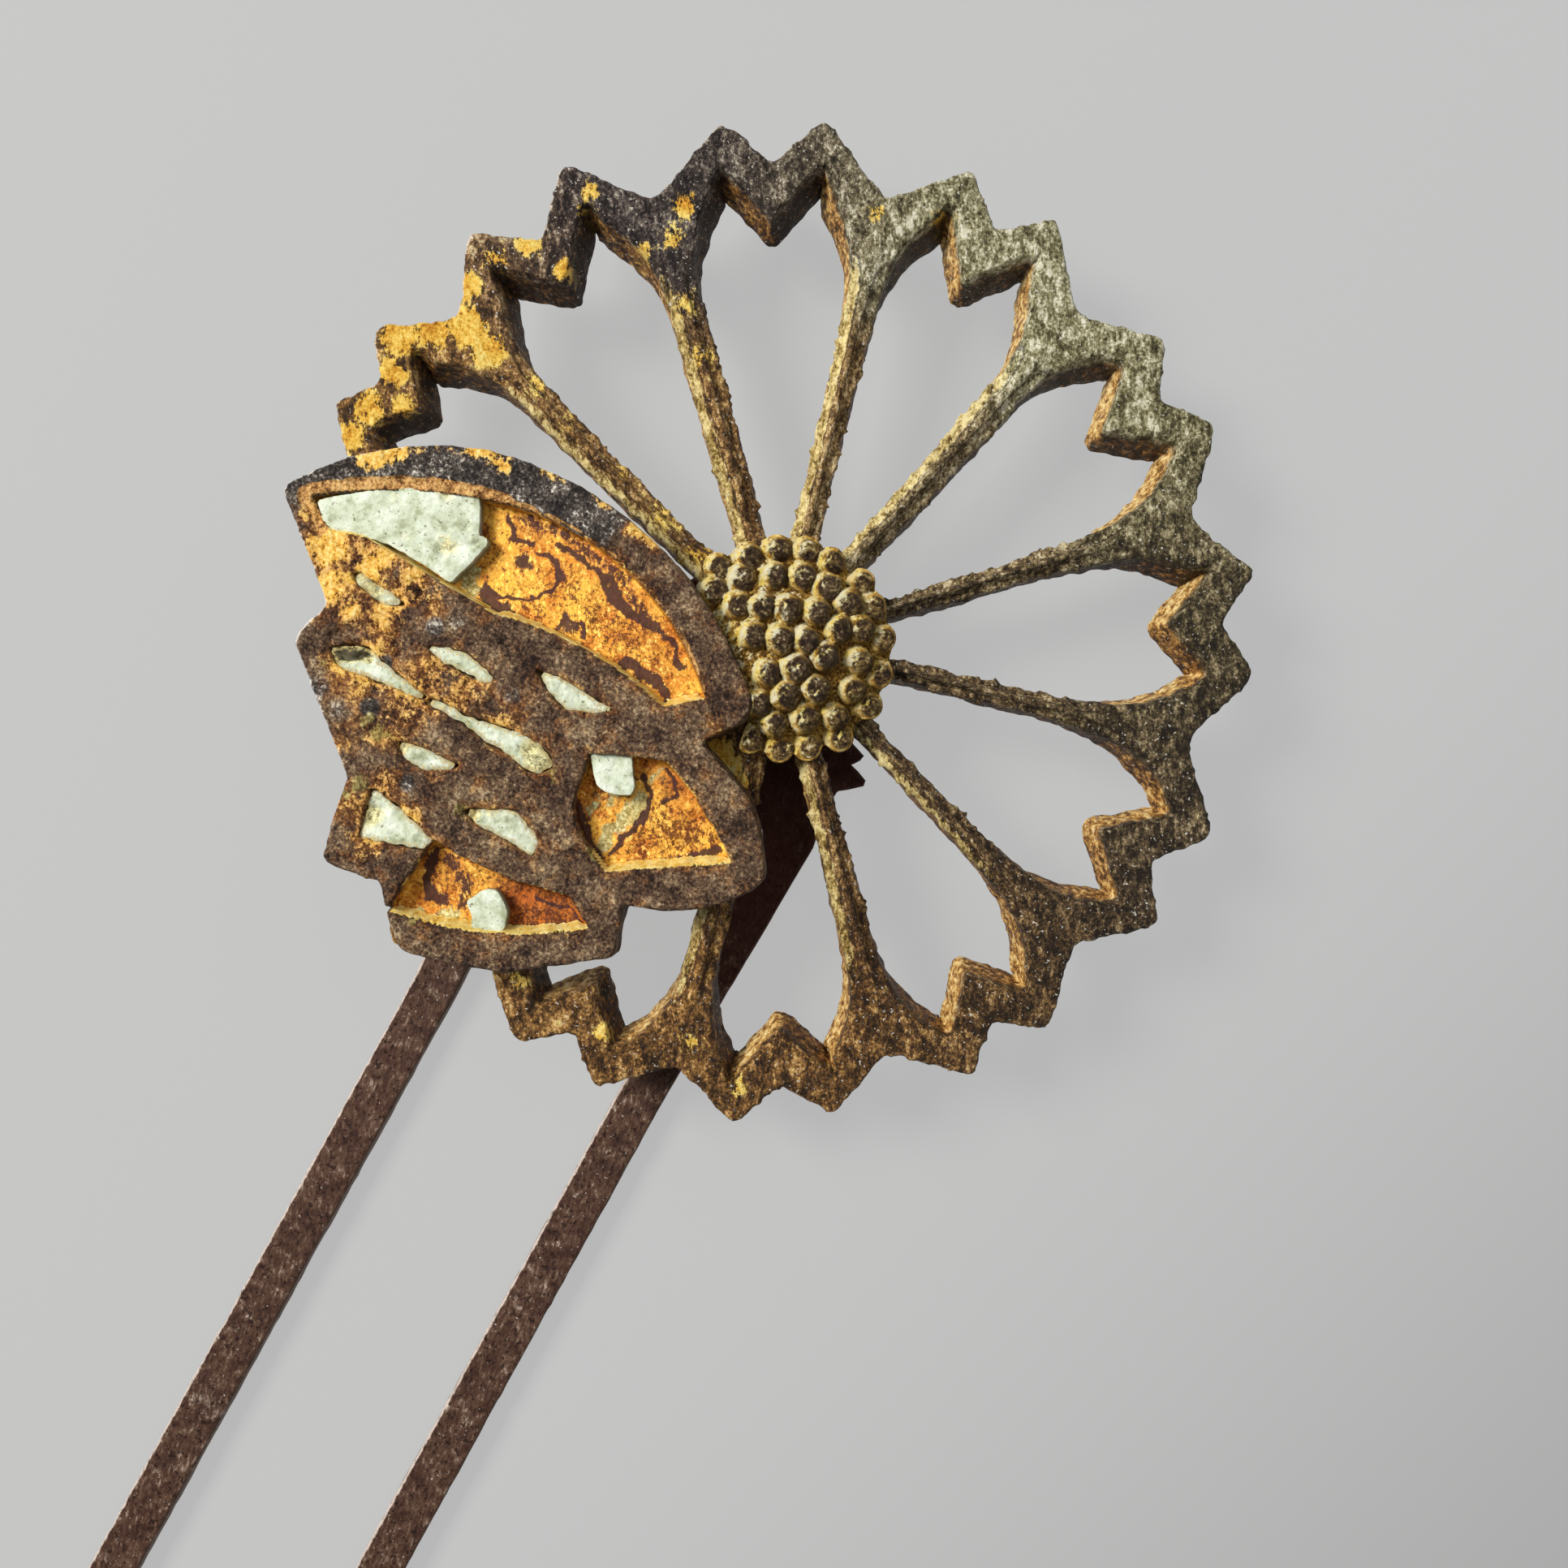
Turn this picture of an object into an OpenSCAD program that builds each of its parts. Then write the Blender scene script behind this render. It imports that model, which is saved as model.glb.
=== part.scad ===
// Two-pronged openwork hairpin. A cast chrysanthemum of twelve petals stands on the
// shoulder plate of a flat U-shaped pin, with a granulated seed head at its middle.
// A thick lobed leaf lies over the lower left quarter and holds chips of pale inlay
// in sunken cells and slots.
// The pin lies on its back: Z is up, towards the flower's face, and Y runs along the
// pin, away from its tips. The origin is on the pin's back, under the flower's middle.

/* [Flower] */
// Height of the flower's back above the pin's back
flower_base = 3.0; // [2.5:0.1:4]
// Thickness of the flower's rim
rim_t = 2.0; // [1.6:0.1:2.4]
// How far the spokes' flat shoulders lie below the rim's face
spoke_drop = 0.4; // [0.2:0.1:0.6]
// Half the width of a spoke beside the seed head
spoke_w_in = 0.5; // [0.45:0.05:0.6]
// Half the width of a spoke before it starts to flare into the rim
spoke_w_out = 0.62; // [0.5:0.02:0.7]
// Radius of the disc that the spokes meet in
hub_r = 4.2; // [3.8:0.1:4.4]
// Width of the rim's band at the petal tips
rim_w = 2.1; // [1.8:0.1:2.4]

/* [Seed head] */
// Radius of the seed head's dome at its foot
dome_r = 4.3; // [4:0.1:4.5]
// Height of the dome
dome_h = 1.6; // [1.2:0.1:2]
// Radius of one granule
granule_r = 0.54; // [0.45:0.01:0.56]

/* [Leaf] */
// Thickness of the leaf
leaf_t = 1.8; // [1.4:0.1:2.2]
// Depth of the large cells
cell_depth = 0.9; // [0.6:0.1:1.2]
// Depth of the narrow slots
slot_depth = 0.6; // [0.4:0.1:0.9]
// Gap round each chip of inlay
inlay_gap = 0.05; // [0.04:0.01:0.1]
// How far the chips' faces lie below the leaf's face
inlay_sink = 0.2; // [0.1:0.05:0.3]

/* [Pin] */
// Thickness of the pin's strip
pin_t = 1.0; // [0.8:0.1:1.4]
// Width of a prong
prong_w = 1.9; // [1.6:0.1:2.2]
// Distance between the prongs' inner edges
prong_gap = 8.2; // [8.1:0.1:9]
// Distance from the flower's middle to the prongs' ends
prong_reach = 112; // [90:1:125]
// Length over which a prong narrows to its end
prong_taper = 24; // [12:1:36]
// Width of a prong's rounded end
prong_end_w = 0.9; // [0.7:0.1:1.2]
// Side of the square post between the shoulder plate and the flower
post_w = 3.4; // [3:0.1:4]

/* [Hidden] */

face_z = flower_base + rim_t;
leaf_z = face_z + leaf_t;
arc_steps = 7;
gold = "#b9964a";
dark_gold = "#8a6f3c";
brown = "#5b4a38";
shell = "#d5ddcf";

// The middle of the rim, the point that the spokes aim at, and the seed head's middle
flower_mid = [0.2, 0.4];
hub_mid = [1.0, 0];
seed_mid = [1.25, -0.15];

// How far corners are cut back for rounding: of the rim, of the openings' lobes, and of
// the point between two lobes
tip_round = 0.55;
lobe_round = 0.6;
point_round = 0.25;
// How much wider than the tips the lobes spread, in degrees
lobe_spread = 0.4;
// The rim's full thickness starts at this radius, outside the spokes
band_r = 14.2;
// How far a spoke reaches into the hub, and its ridge short of the notch and below the
// spoke's shoulders; the ridge's width is a share of the spoke's
spoke_root = 0.3;
ridge_short = 2.0;
ridge_sink = 0.1;
ridge_share = 0.8;

// One row for each petal, going round from the right against the clock.
// Columns: axis and spread are angles from the flower's middle, to the petal's centre
// line and from there to each of its two tips. cw_tip, ccw_tip, dip, heart and notch
// are radii: of the two tips, of the dip between them, of the heart's point inside,
// and of the notch before the next petal, which lies at the angle notch_at. spoke is
// the width of the spoke that ends at that notch, against the usual width.
petals = [
    // axis, spread, cw_tip, ccw_tip, dip, heart, notch, notch_at, spoke
    [-2.9, 6.1, 20.0, 20.0, 18.3, 15.6, 17.6, 13.3, 0.8],
    [28.8, 6.1, 19.9, 19.9, 18.4, 16.0, 17.6, 42.5, 0.85],
    [58.5, 5.9, 19.9, 19.8, 18.2, 15.4, 17.6, 73.7, 1.1],
    [88.8, 5.7, 20.2, 20.2, 18.3, 15.6, 17.7, 103.2, 1.0],
    [118.3, 6.0, 20.5, 20.4, 18.6, 16.0, 17.6, 133.7, 1.2],
    [149.6, 6.7, 20.4, 19.9, 17.9, 15.6, 17.5, 164.5, 1.05],
    [177.1, 5.1, 19.9, 19.7, 18.5, 16.2, 16.9, 193.5, 1.0],
    [210.0, 5.0, 17.9, 17.9, 16.5, 14.2, 16.5, 228.5, 1.0],
    [243.5, 6.2, 20.4, 20.1, 18.7, 16.0, 17.6, 258.5, 1.0],
    [273.4, 5.2, 19.9, 20.1, 18.4, 15.9, 18.3, 287.2, 1.15],
    [300.7, 5.9, 20.4, 20.2, 18.7, 16.2, 18.0, 314.3, 1.0],
    [328.4, 5.2, 20.2, 20.1, 18.5, 16.0, 17.9, 342.3, 0.85],
];

// How a spoke flares into the rim: distance short of the notch, half width there
flare = [
    [4.0, 0.68],
    [3.0, 0.82],
    [2.1, 1.15],
    [1.2, 1.65],
    [0.6, 2.15],
];

// Outlines of the leaf and of its sunken cells. Columns: x, y, and how far the edge to
// the next corner bows out to its left, seen going round with the clock.
leaf_corners = [
    [-19.0, -4.3, 1.75], [-8.2, 1.35, 0.95], [1.2, -2.7, 0.1], [1.4, -3.6, 0],
    [0.3, -5.1, 0], [3.0, -6.1, 0.15], [5.15, -8.7, 0.1], [4.2, -10.1, 0.1],
    [3.0, -11.2, 0.1], [0.7, -12.2, 0], [1.4, -14.2, 0], [-2.0, -16.75, 0.12],
    [-6.1, -18.0, 0.1], [-8.1, -15.95, 0.1], [-10.5, -16.35, 0.1],
    [-11.1, -13.1, 0], [-15.65, -9.35, 0.05], [-15.15, -7.5, 0],
];
cell_upper = [
    [-18.1, -4.0, 0.5], [-10.0, -0.4, 1.25], [-0.35, -3.55, 0], [-1.65, -4.65, -0.5],
    [-9.2, -4.65, 0], [-15.0, -4.45, 0], [-16.5, -4.9, 0],
];
cell_right = [
    [-3.3, -7.6, 0], [-0.5, -6.4, 0.15], [3.7, -8.7, 0], [-0.5, -11.4, 0.2],
    [-2.9, -9.8, 0],
];
cell_lower = [
    [-7.1, -13.6, 0], [-3.9, -13.5, 0], [-1.3, -12.95, 0], [0.0, -13.65, 0.55],
    [-7.3, -16.85, 0],
];
cell_corner = [
    [-10.1, -13.0, 0], [-7.3, -13.6, 0], [-7.35, -14.15, 0], [-9.7, -14.95, 0],
];

// What is left of the inlay in the large cells. Columns as above.
chip_upper = [
    [-17.6, -4.1, 0.35], [-12.0, -1.1, 0], [-10.85, -2.6, 0], [-11.4, -3.5, 0],
    [-11.3, -4.3, 0], [-15.2, -4.35, 0], [-16.5, -4.75, 0],
];
chip_right = [
    [-3.15, -7.6, 0], [-2.0, -7.1, 0], [-1.25, -8.05, 0.05], [-2.0, -8.65, 0.15],
];
chip_lower = [
    [-4.6, -15.0, 0.1], [-3.9, -14.2, 0.25], [-3.0, -15.1, 0.1], [-3.75, -15.75, 0],
    [-4.3, -15.5, 0],
];

// The slots, each a lens along a line. Columns: left x, left y, right x, right y, width
slots = [
    [-14.8, -5.85, -12.4, -6.25, 0.75],
    [-6.7, -5.75, -3.5, -5.9, 0.85],
    [-11.0, -6.95, -7.9, -6.7, 0.85],
    [-14.3, -9.0, -10.2, -8.75, 0.95],
    [-10.0, -8.75, -4.3, -8.85, 1.1],
    [-10.4, -11.0, -7.6, -10.7, 0.8],
    [-5.9, -11.9, -3.1, -11.85, 1.15],
];

// The right half of the pin's shoulder plate, from its top down to the prong.
// Columns: x, y
shoulder = [
    [1.6, 3.3], [3.2, 2.0], [4.1, 0.2], [4.7, -1.7], [5.5, -2.1], [6.45, -2.35],
    [6.05, -2.95], [7.15, -3.3], [6.15, -4.1], [6.05, -5.2],
];
bar_y = -6.8;
fillet_r = 1.1;
straight_y = -20;
splay = 0.4;

function polar(r, a) = [r * cos(a), r * sin(a)];
function unit(v) = v / norm(v);
function left_of(v) = [-v[1], v[0]];

// An arc of the given bow from p to q, without its end point: a parabola is close enough
function bowed(p, q, bow) =
    bow == 0
        ? [p]
        : [for (i = [0:arc_steps - 1])
            let (t = i / arc_steps)
            p + t * (q - p) + 4 * bow * t * (1 - t) * left_of(unit(q - p))];

// The closed outline of a table of corners
function outline(corners) =
    [for (i = [0:len(corners) - 1])
        let (a = corners[i], b = corners[(i + 1) % len(corners)])
        each bowed([a[0], a[1]], [b[0], b[1]], a[2])];

// The corner q between p and s, cut back by d, or less on a short side, and rounded
function eased(p, q, s, d) =
    let (
        a = q + min(d, 0.4 * norm(p - q)) * unit(p - q),
        b = q + min(d, 0.4 * norm(s - q)) * unit(s - q)
    )
    [for (i = [0:3])
        let (t = i / 3)
        (1 - t) * (1 - t) * a + 2 * t * (1 - t) * q + t * t * b];

// Every corner of a closed outline rounded
function eased_all(points, d) =
    [for (i = [0:len(points) - 1])
        let (n = len(points))
        each eased(points[(i + n - 1) % n], points[i], points[(i + 1) % n], d)];

// A closed outline that runs with the clock, moved inwards by d
function inset(points, d) =
    [for (i = [0:len(points) - 1])
        let (
            n = len(points),
            a = unit(points[i] - points[(i + n - 1) % n]),
            b = unit(points[(i + 1) % n] - points[i])
        )
        points[i] - d * (left_of(a) + left_of(b)) / (1 + a * b)];

// Both edges of a lens from p to q
function lens(p, q, w) =
    [for (i = [0:arc_steps]) let (t = i / arc_steps)
        p + t * (q - p) + 2 * w * t * (1 - t) * left_of(unit(q - p)),
     for (i = [1:arc_steps - 1]) let (t = 1 - i / arc_steps)
        p + t * (q - p) - 2 * w * t * (1 - t) * left_of(unit(q - p))];

function notch_point(k) =
    let (row = petals[(k + 12) % 12]) flower_mid + polar(row[6], row[7]);

// A point s short of notch k along its spoke, and w to the side of the spoke's middle
function beside_spoke(k, s, w) =
    let (end = notch_point(k), along = unit(end - hub_mid))
    end - s * along + w * left_of(along);

function spoke_len(k) = norm(notch_point(k) - hub_mid);

function spoke_width(k) = petals[(k + 12) % 12][8];

// One edge of the flared spoke, from the hub outwards, on the side given by 1 or -1
function spoke_edge(k, side) =
    let (w = side * spoke_width(k))
    [beside_spoke(k, spoke_len(k) - hub_r + spoke_root, w * spoke_w_in),
     beside_spoke(k, flare[0][0] + 1.2, w * spoke_w_out),
     for (row = flare) beside_spoke(k, row[0], side * row[1])];

// The heart-shaped opening of petal k
function heart(k) =
    let (
        row = petals[k],
        lobe = row[1] + lobe_spread,
        cw_lobe = flower_mid + polar(row[2] - rim_w, row[0] - lobe),
        ccw_lobe = flower_mid + polar(row[3] - rim_w, row[0] + lobe),
        point = flower_mid + polar(row[5], row[0]),
        up = spoke_edge(k - 1, 1),
        down = spoke_edge(k, -1),
        n = len(up) - 1
    )
    concat(
        up,
        eased(up[n], cw_lobe, point, lobe_round),
        eased(cw_lobe, point, ccw_lobe, point_round),
        eased(point, ccw_lobe, down[n], lobe_round),
        [for (i = [n:-1:0]) down[i]]
    );

// The zigzag outer edge of the rim
function rim_outline() =
    let (corners = [for (k = [0:11])
        let (row = petals[k])
        each [
            flower_mid + polar(row[2], row[0] - row[1]),
            flower_mid + polar(row[4], row[0]),
            flower_mid + polar(row[3], row[0] + row[1]),
            notch_point(k),
        ]])
    eased_all(corners, tip_round);

module hearts() {
    for (k = [0:11])
        polygon(heart(k));
}

// Rim, spokes and hub: one casting, with a low ridge along each spoke
module flower() {
    color(gold) {
        translate([0, 0, flower_base])
            linear_extrude(rim_t - spoke_drop)
                difference() {
                    polygon(rim_outline());
                    hearts();
                }
        translate([0, 0, face_z - spoke_drop])
            linear_extrude(spoke_drop)
                difference() {
                    polygon(rim_outline());
                    hearts();
                    translate(flower_mid)
                        circle(r = band_r, $fn = 96);
                }
        translate([hub_mid[0], hub_mid[1], face_z - spoke_drop])
            cylinder(r = hub_r, h = spoke_drop, $fn = 64);
        for (k = [0:11])
            spoke_ridge(k);
    }
}

// A triangular ridge from the hub to the rim along spoke k
module spoke_ridge(k) {
    along = notch_point(k) - hub_mid;
    side = ridge_share * spoke_w_in * spoke_width(k);
    translate([hub_mid[0], hub_mid[1], face_z - spoke_drop - ridge_sink])
        rotate([0, 0, atan2(along[1], along[0])])
            translate([hub_r - spoke_root, 0, 0])
                rotate([90, 0, 90])
                    linear_extrude(spoke_len(k) - hub_r + spoke_root - ridge_short)
                        polygon([[-side, 0], [side, 0], [0, spoke_drop + ridge_sink / 2]]);
}

// The granules on the seed head, row by row from the top. Columns: x, y
granules = [
    [0.21, 3.63], [1.29, 3.7], [2.75, 3.54], [3.6, 2.9], [-0.83, 3.1],
    [-1.7, 2.3], [-0.35, 2.05], [0.6, 2.55], [1.65, 2.65], [2.7, 2.5],
    [3.6, 1.85], [4.55, 2.0], [-2.6, 1.35], [-1.5, 1.35], [0.75, 1.1],
    [1.8, 1.55], [2.9, 1.4], [4.15, 0.7], [5.15, 0.7], [-2.25, 0.35],
    [-1.1, 0.3], [-0.2, 0.7], [1.95, 0.35], [2.9, 0.2], [1.05, -0.1],
    [0.05, -0.45], [4.5, -0.4], [5.4, -0.6], [2.15, -0.8], [3.2, -1.1],
    [1.25, -1.5], [4.4, -1.65], [2.3, -1.9], [3.4, -2.3], [5.0, -2.3],
    [1.45, -2.7], [2.4, -3.1], [4.05, -3.25], [1.9, -4.1], [3.1, -3.85],
];

ball_r = (dome_r * dome_r + dome_h * dome_h) / (2 * dome_h);
ball_z = face_z + dome_h - ball_r;

// A granule's middle lies on the dome, but never so low that it reaches below its foot
function granule_z(r) = max(face_z + granule_r, ball_z + sqrt(ball_r * ball_r - r * r));

// A domed disc covered with granules, cut away where the leaf lies over it
module seed_head() {
    color(dark_gold)
        difference() {
            union() {
                translate([seed_mid[0], seed_mid[1], 0])
                    intersection() {
                        translate([0, 0, ball_z])
                            sphere(r = ball_r, $fn = 96);
                        translate([0, 0, face_z])
                            cylinder(r = dome_r, h = dome_h + 1, $fn = 96);
                    }
                for (xy = granules)
                    translate([xy[0], xy[1], granule_z(norm(xy - seed_mid))])
                        sphere(r = granule_r, $fn = 24);
            }
            translate([0, 0, face_z - 1])
                linear_extrude(dome_h + 3)
                    polygon(inset(outline(leaf_corners), -inlay_gap));
        }
}

// The pocket that a list of corners makes in the leaf's face
module pocket(points, depth) {
    translate([0, 0, leaf_z - depth])
        linear_extrude(depth + 1)
            polygon(points);
}

module leaf() {
    color(brown)
        difference() {
            translate([0, 0, face_z])
                linear_extrude(leaf_t)
                    polygon(outline(leaf_corners));
            for (cell = [cell_upper, cell_right, cell_lower, cell_corner])
                pocket(outline(cell), cell_depth);
            for (row = slots)
                pocket(lens([row[0], row[1]], [row[2], row[3]], row[4]), slot_depth);
        }
}

// A chip of inlay lying on the floor of a cell
module chip(points, depth) {
    color(shell)
        translate([0, 0, leaf_z - depth])
            linear_extrude(depth - inlay_sink)
                polygon(points);
}

// The filling of slot i, a little smaller than the slot all round
module slot_inlay(i) {
    row = slots[i];
    p = [row[0], row[1]];
    q = [row[2], row[3]];
    ease = 4 * inlay_gap * unit(q - p);
    chip(lens(p + ease, q - ease, row[4] - 2 * inlay_gap), slot_depth);
}

module inlay_upper() { chip(outline(chip_upper), cell_depth); }
module inlay_right() { chip(outline(chip_right), cell_depth); }
module inlay_lower() { chip(outline(chip_lower), cell_depth); }
module inlay_corner() { chip(inset(outline(cell_corner), inlay_gap), cell_depth); }

// Half of the pin's outline, from the plate's top to the prong's end and back up
function prong_side() =
    let (
        in_x = prong_gap / 2,
        out_x = in_x + prong_w,
        mid_x = in_x + prong_w / 2,
        end_h = prong_end_w / 2
    )
    concat(
        shoulder,
        [[out_x + splay, bar_y], [out_x, straight_y], [out_x, prong_taper - prong_reach]],
        [for (a = [0:-30:-180]) [mid_x + end_h * cos(a), end_h - prong_reach + end_h * sin(a)]],
        [[in_x, prong_taper - prong_reach], [in_x, straight_y]],
        [for (a = [0:30:90])
            [in_x + 0.7 * splay - fillet_r * (1 - cos(a)), bar_y - fillet_r * (1 - sin(a))]]
    );

function mirrored(points) =
    [for (i = [len(points) - 1:-1:0]) [-points[i][0], points[i][1]]];

// Shoulder plate, crossbar, both prongs and the post that carries the flower
module pin() {
    color(brown) {
        linear_extrude(pin_t)
            polygon(concat(prong_side(), mirrored(prong_side())));
        translate([-post_w / 2, -post_w / 2, pin_t / 2])
            cube([post_w, post_w, flower_base - pin_t / 2]);
    }
}

flower();
seed_head();
leaf();
pin();
inlay_upper();
inlay_corner();
inlay_right();
inlay_lower();
slot_inlay(0);  // inlay_slot_1
slot_inlay(1);  // inlay_slot_2
slot_inlay(2);  // inlay_slot_3
slot_inlay(3);  // inlay_slot_4
slot_inlay(4);  // inlay_slot_5
slot_inlay(5);  // inlay_slot_6
slot_inlay(6);  // inlay_slot_7
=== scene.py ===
"""Looks of the old brass hairpin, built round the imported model.

Lengths in the tables and functions are millimetres in the part's own frame; they become
metres where a mesh, the camera or a light is made.
"""

import math

import bpy
import numpy as np
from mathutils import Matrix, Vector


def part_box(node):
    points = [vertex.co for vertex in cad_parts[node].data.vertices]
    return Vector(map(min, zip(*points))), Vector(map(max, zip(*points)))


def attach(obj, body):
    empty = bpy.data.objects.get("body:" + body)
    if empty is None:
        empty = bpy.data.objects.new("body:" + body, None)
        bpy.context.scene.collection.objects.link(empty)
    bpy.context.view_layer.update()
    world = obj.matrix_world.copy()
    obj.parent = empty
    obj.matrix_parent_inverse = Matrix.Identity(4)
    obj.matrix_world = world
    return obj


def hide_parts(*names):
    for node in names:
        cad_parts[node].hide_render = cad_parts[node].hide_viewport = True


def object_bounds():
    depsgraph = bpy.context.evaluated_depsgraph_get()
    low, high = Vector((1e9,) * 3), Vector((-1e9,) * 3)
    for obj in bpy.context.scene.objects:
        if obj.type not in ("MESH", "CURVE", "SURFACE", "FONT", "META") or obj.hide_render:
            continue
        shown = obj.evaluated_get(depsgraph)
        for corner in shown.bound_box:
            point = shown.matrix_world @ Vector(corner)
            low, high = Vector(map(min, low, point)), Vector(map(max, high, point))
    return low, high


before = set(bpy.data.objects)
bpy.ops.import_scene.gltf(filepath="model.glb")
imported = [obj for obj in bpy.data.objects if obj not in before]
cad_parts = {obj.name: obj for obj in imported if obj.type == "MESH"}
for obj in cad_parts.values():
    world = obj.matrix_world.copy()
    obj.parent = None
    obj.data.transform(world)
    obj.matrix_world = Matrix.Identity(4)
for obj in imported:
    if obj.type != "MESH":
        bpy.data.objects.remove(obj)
cad_box = [list(corner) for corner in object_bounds()]

MM = 0.001


def ends_of(node, axis):
    """Where a CAD node begins and ends along an axis (0, 1 or 2), in millimetres."""
    return [round(corner[axis] / MM, 4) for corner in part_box(node)]


# Sizes and tables

# Heights, and the pin's end, from the frame
FLOWER_BACK, FACE = ends_of("flower", 2)
LEAF_FACE = ends_of("leaf", 2)[1]
CELL_FLOOR, CHIP_FACE = ends_of("inlay_upper", 2)
SLOT_FLOOR = ends_of("inlay_slot_1", 2)[0]
PRONG_END = ends_of("pin", 1)[0]
# The face of the pin's strip, which its post rises above
PIN_FACE = 1.0

# The middles of the rim, the hub, the seed head and the leaf, and the hub's radius
FLOWER_MID = np.array([0.2, 0.4])
HUB_MID = np.array([1.0, 0.0])
SEED_MID = np.array([1.25, -0.15])
LEAF_MID = np.array([-7.0, -8.0])
HUB_R = 4.2

# One row a petal, round from the right against the clock. Columns: axis, spread, radius
# of the first and second tip, of the dip, of the opening's point, of the notch, the
# notch's angle, width of the spoke that ends there
PETALS = np.array([
    [-2.9, 6.1, 20.0, 20.0, 18.3, 15.6, 17.6, 13.3, 0.8],
    [28.8, 6.1, 19.9, 19.9, 18.4, 16.0, 17.6, 42.5, 0.85],
    [58.5, 5.9, 19.9, 19.8, 18.2, 15.4, 17.6, 73.7, 1.1],
    [88.8, 5.7, 20.2, 20.2, 18.3, 15.6, 17.7, 103.2, 1.0],
    [118.3, 6.0, 20.5, 20.4, 18.6, 16.0, 17.6, 133.7, 1.2],
    [149.6, 6.7, 20.4, 19.9, 17.9, 15.6, 17.5, 164.5, 1.05],
    [177.1, 5.1, 19.9, 19.7, 18.5, 16.2, 16.9, 193.5, 1.0],
    [210.0, 5.0, 17.9, 17.9, 16.5, 14.2, 16.5, 228.5, 1.0],
    [243.5, 6.2, 20.4, 20.1, 18.7, 16.0, 17.6, 258.5, 1.0],
    [273.4, 5.2, 19.9, 20.1, 18.4, 15.9, 18.3, 287.2, 1.15],
    [300.7, 5.9, 20.4, 20.2, 18.7, 16.2, 18.0, 314.3, 1.0],
    [328.4, 5.2, 20.2, 20.1, 18.5, 16.0, 17.9, 342.3, 0.85],
])
AXIS, SPREAD, TIP_1, TIP_2, DIP, POINT, NOTCH, NOTCH_AT, SPOKE_W = PETALS.T
PETAL_COUNT = len(PETALS)
# Width of the rim's band at the tips, and the degrees by which the opening's lobes are
# wider apart than the tips
RIM_W = 2.1
LOBE_SPREAD = 0.4
# Where each opening begins, from the hub's middle. Beside the leaf a corner of the hub
# shows, so the tenth one begins farther out.
HUB_REACH = np.full(PETAL_COUNT, HUB_R)
HUB_REACH[9] = 6.0
# How far a spoke reaches into the hub, and its half width there and short of its flare,
# as shares of its width
SPOKE_ROOT = 0.3
SPOKE_IN, SPOKE_OUT = 0.5, 0.62
# How a spoke flares into the rim: distance short of the notch, half width there
FLARE = np.array([[4.0, 0.68], [3.0, 0.82], [2.1, 1.15], [1.2, 1.65], [0.6, 2.15]])

# Outlines of the leaf, its cells and what is left of the inlay, all with the clock.
# Columns: x, y, how far the side to the next corner bows out
LEAF = [
    [-19.0, -4.3, 1.75], [-8.2, 1.35, 0.95], [1.2, -2.7, 0.1], [1.4, -3.6, 0],
    [0.3, -5.1, 0], [3.0, -6.1, 0.15], [5.15, -8.7, 0.1], [4.2, -10.1, 0.1],
    [3.0, -11.2, 0.1], [0.7, -12.2, 0], [1.4, -14.2, 0], [-2.0, -16.75, 0.12],
    [-6.1, -18.0, 0.1], [-8.1, -15.95, 0.1], [-10.5, -16.35, 0.1],
    [-11.1, -13.1, 0], [-15.65, -9.35, 0.05], [-15.15, -7.5, 0],
]
CELLS = {
    "upper": [
        [-17.8, -4.05, 0.45], [-10.0, -0.4, 1.25], [-0.35, -3.55, 0],
        [-1.65, -4.65, -0.5], [-9.2, -4.65, 0], [-15.0, -4.45, 0], [-16.5, -4.9, 0],
    ],
    "right": [
        [-3.3, -7.6, 0], [-0.5, -6.4, 0.15], [3.7, -8.7, 0], [-0.5, -11.4, 0.2],
        [-2.9, -9.8, 0],
    ],
    "lower": [
        [-7.1, -13.6, 0], [-3.9, -13.5, 0], [-1.3, -12.95, 0], [0.0, -13.65, 0.55],
        [-7.3, -16.85, 0],
    ],
}
# Inlay as it is left, traced round each piece: x, y, bow
CHIPS = {
    "upper": [
        [-17.5, -4.12, 0.1], [-14.75, -2.07, 0.12], [-12.06, -0.86, 0], [-11.6, -1.55, 0],
        [-11.25, -2.29, 0], [-11.04, -2.14, 0], [-10.82, -2.39, 0], [-11.0, -3.3, 0],
        [-11.35, -4.42, -0.05], [-14.22, -4.27, -0.05], [-16.4, -4.84, 0],
        [-16.95, -4.68, 0],
    ],
    "right": [
        [-3.35, -7.58, 0], [-1.94, -6.81, 0], [-1.14, -7.97, 0], [-1.12, -8.29, 0.05],
        [-2.05, -8.66, 0], [-2.48, -8.62, 0],
    ],
    "lower": [
        [-4.75, -15.08, 0], [-4.46, -14.5, 0.08], [-3.86, -14.15, 0.04],
        [-3.17, -14.67, 0.05], [-2.95, -15.37, 0], [-3.13, -15.65, 0], [-4.0, -15.95, 0],
        [-4.32, -15.48, 0],
    ],
    "corner": [
        [-10.12, -13.03, 0], [-9.6, -13.0, 0.05], [-7.13, -13.6, 0], [-7.21, -14.15, 0],
        [-7.98, -14.35, 0], [-9.68, -14.94, 0], [-9.88, -14.2, 0],
    ],
}
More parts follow.
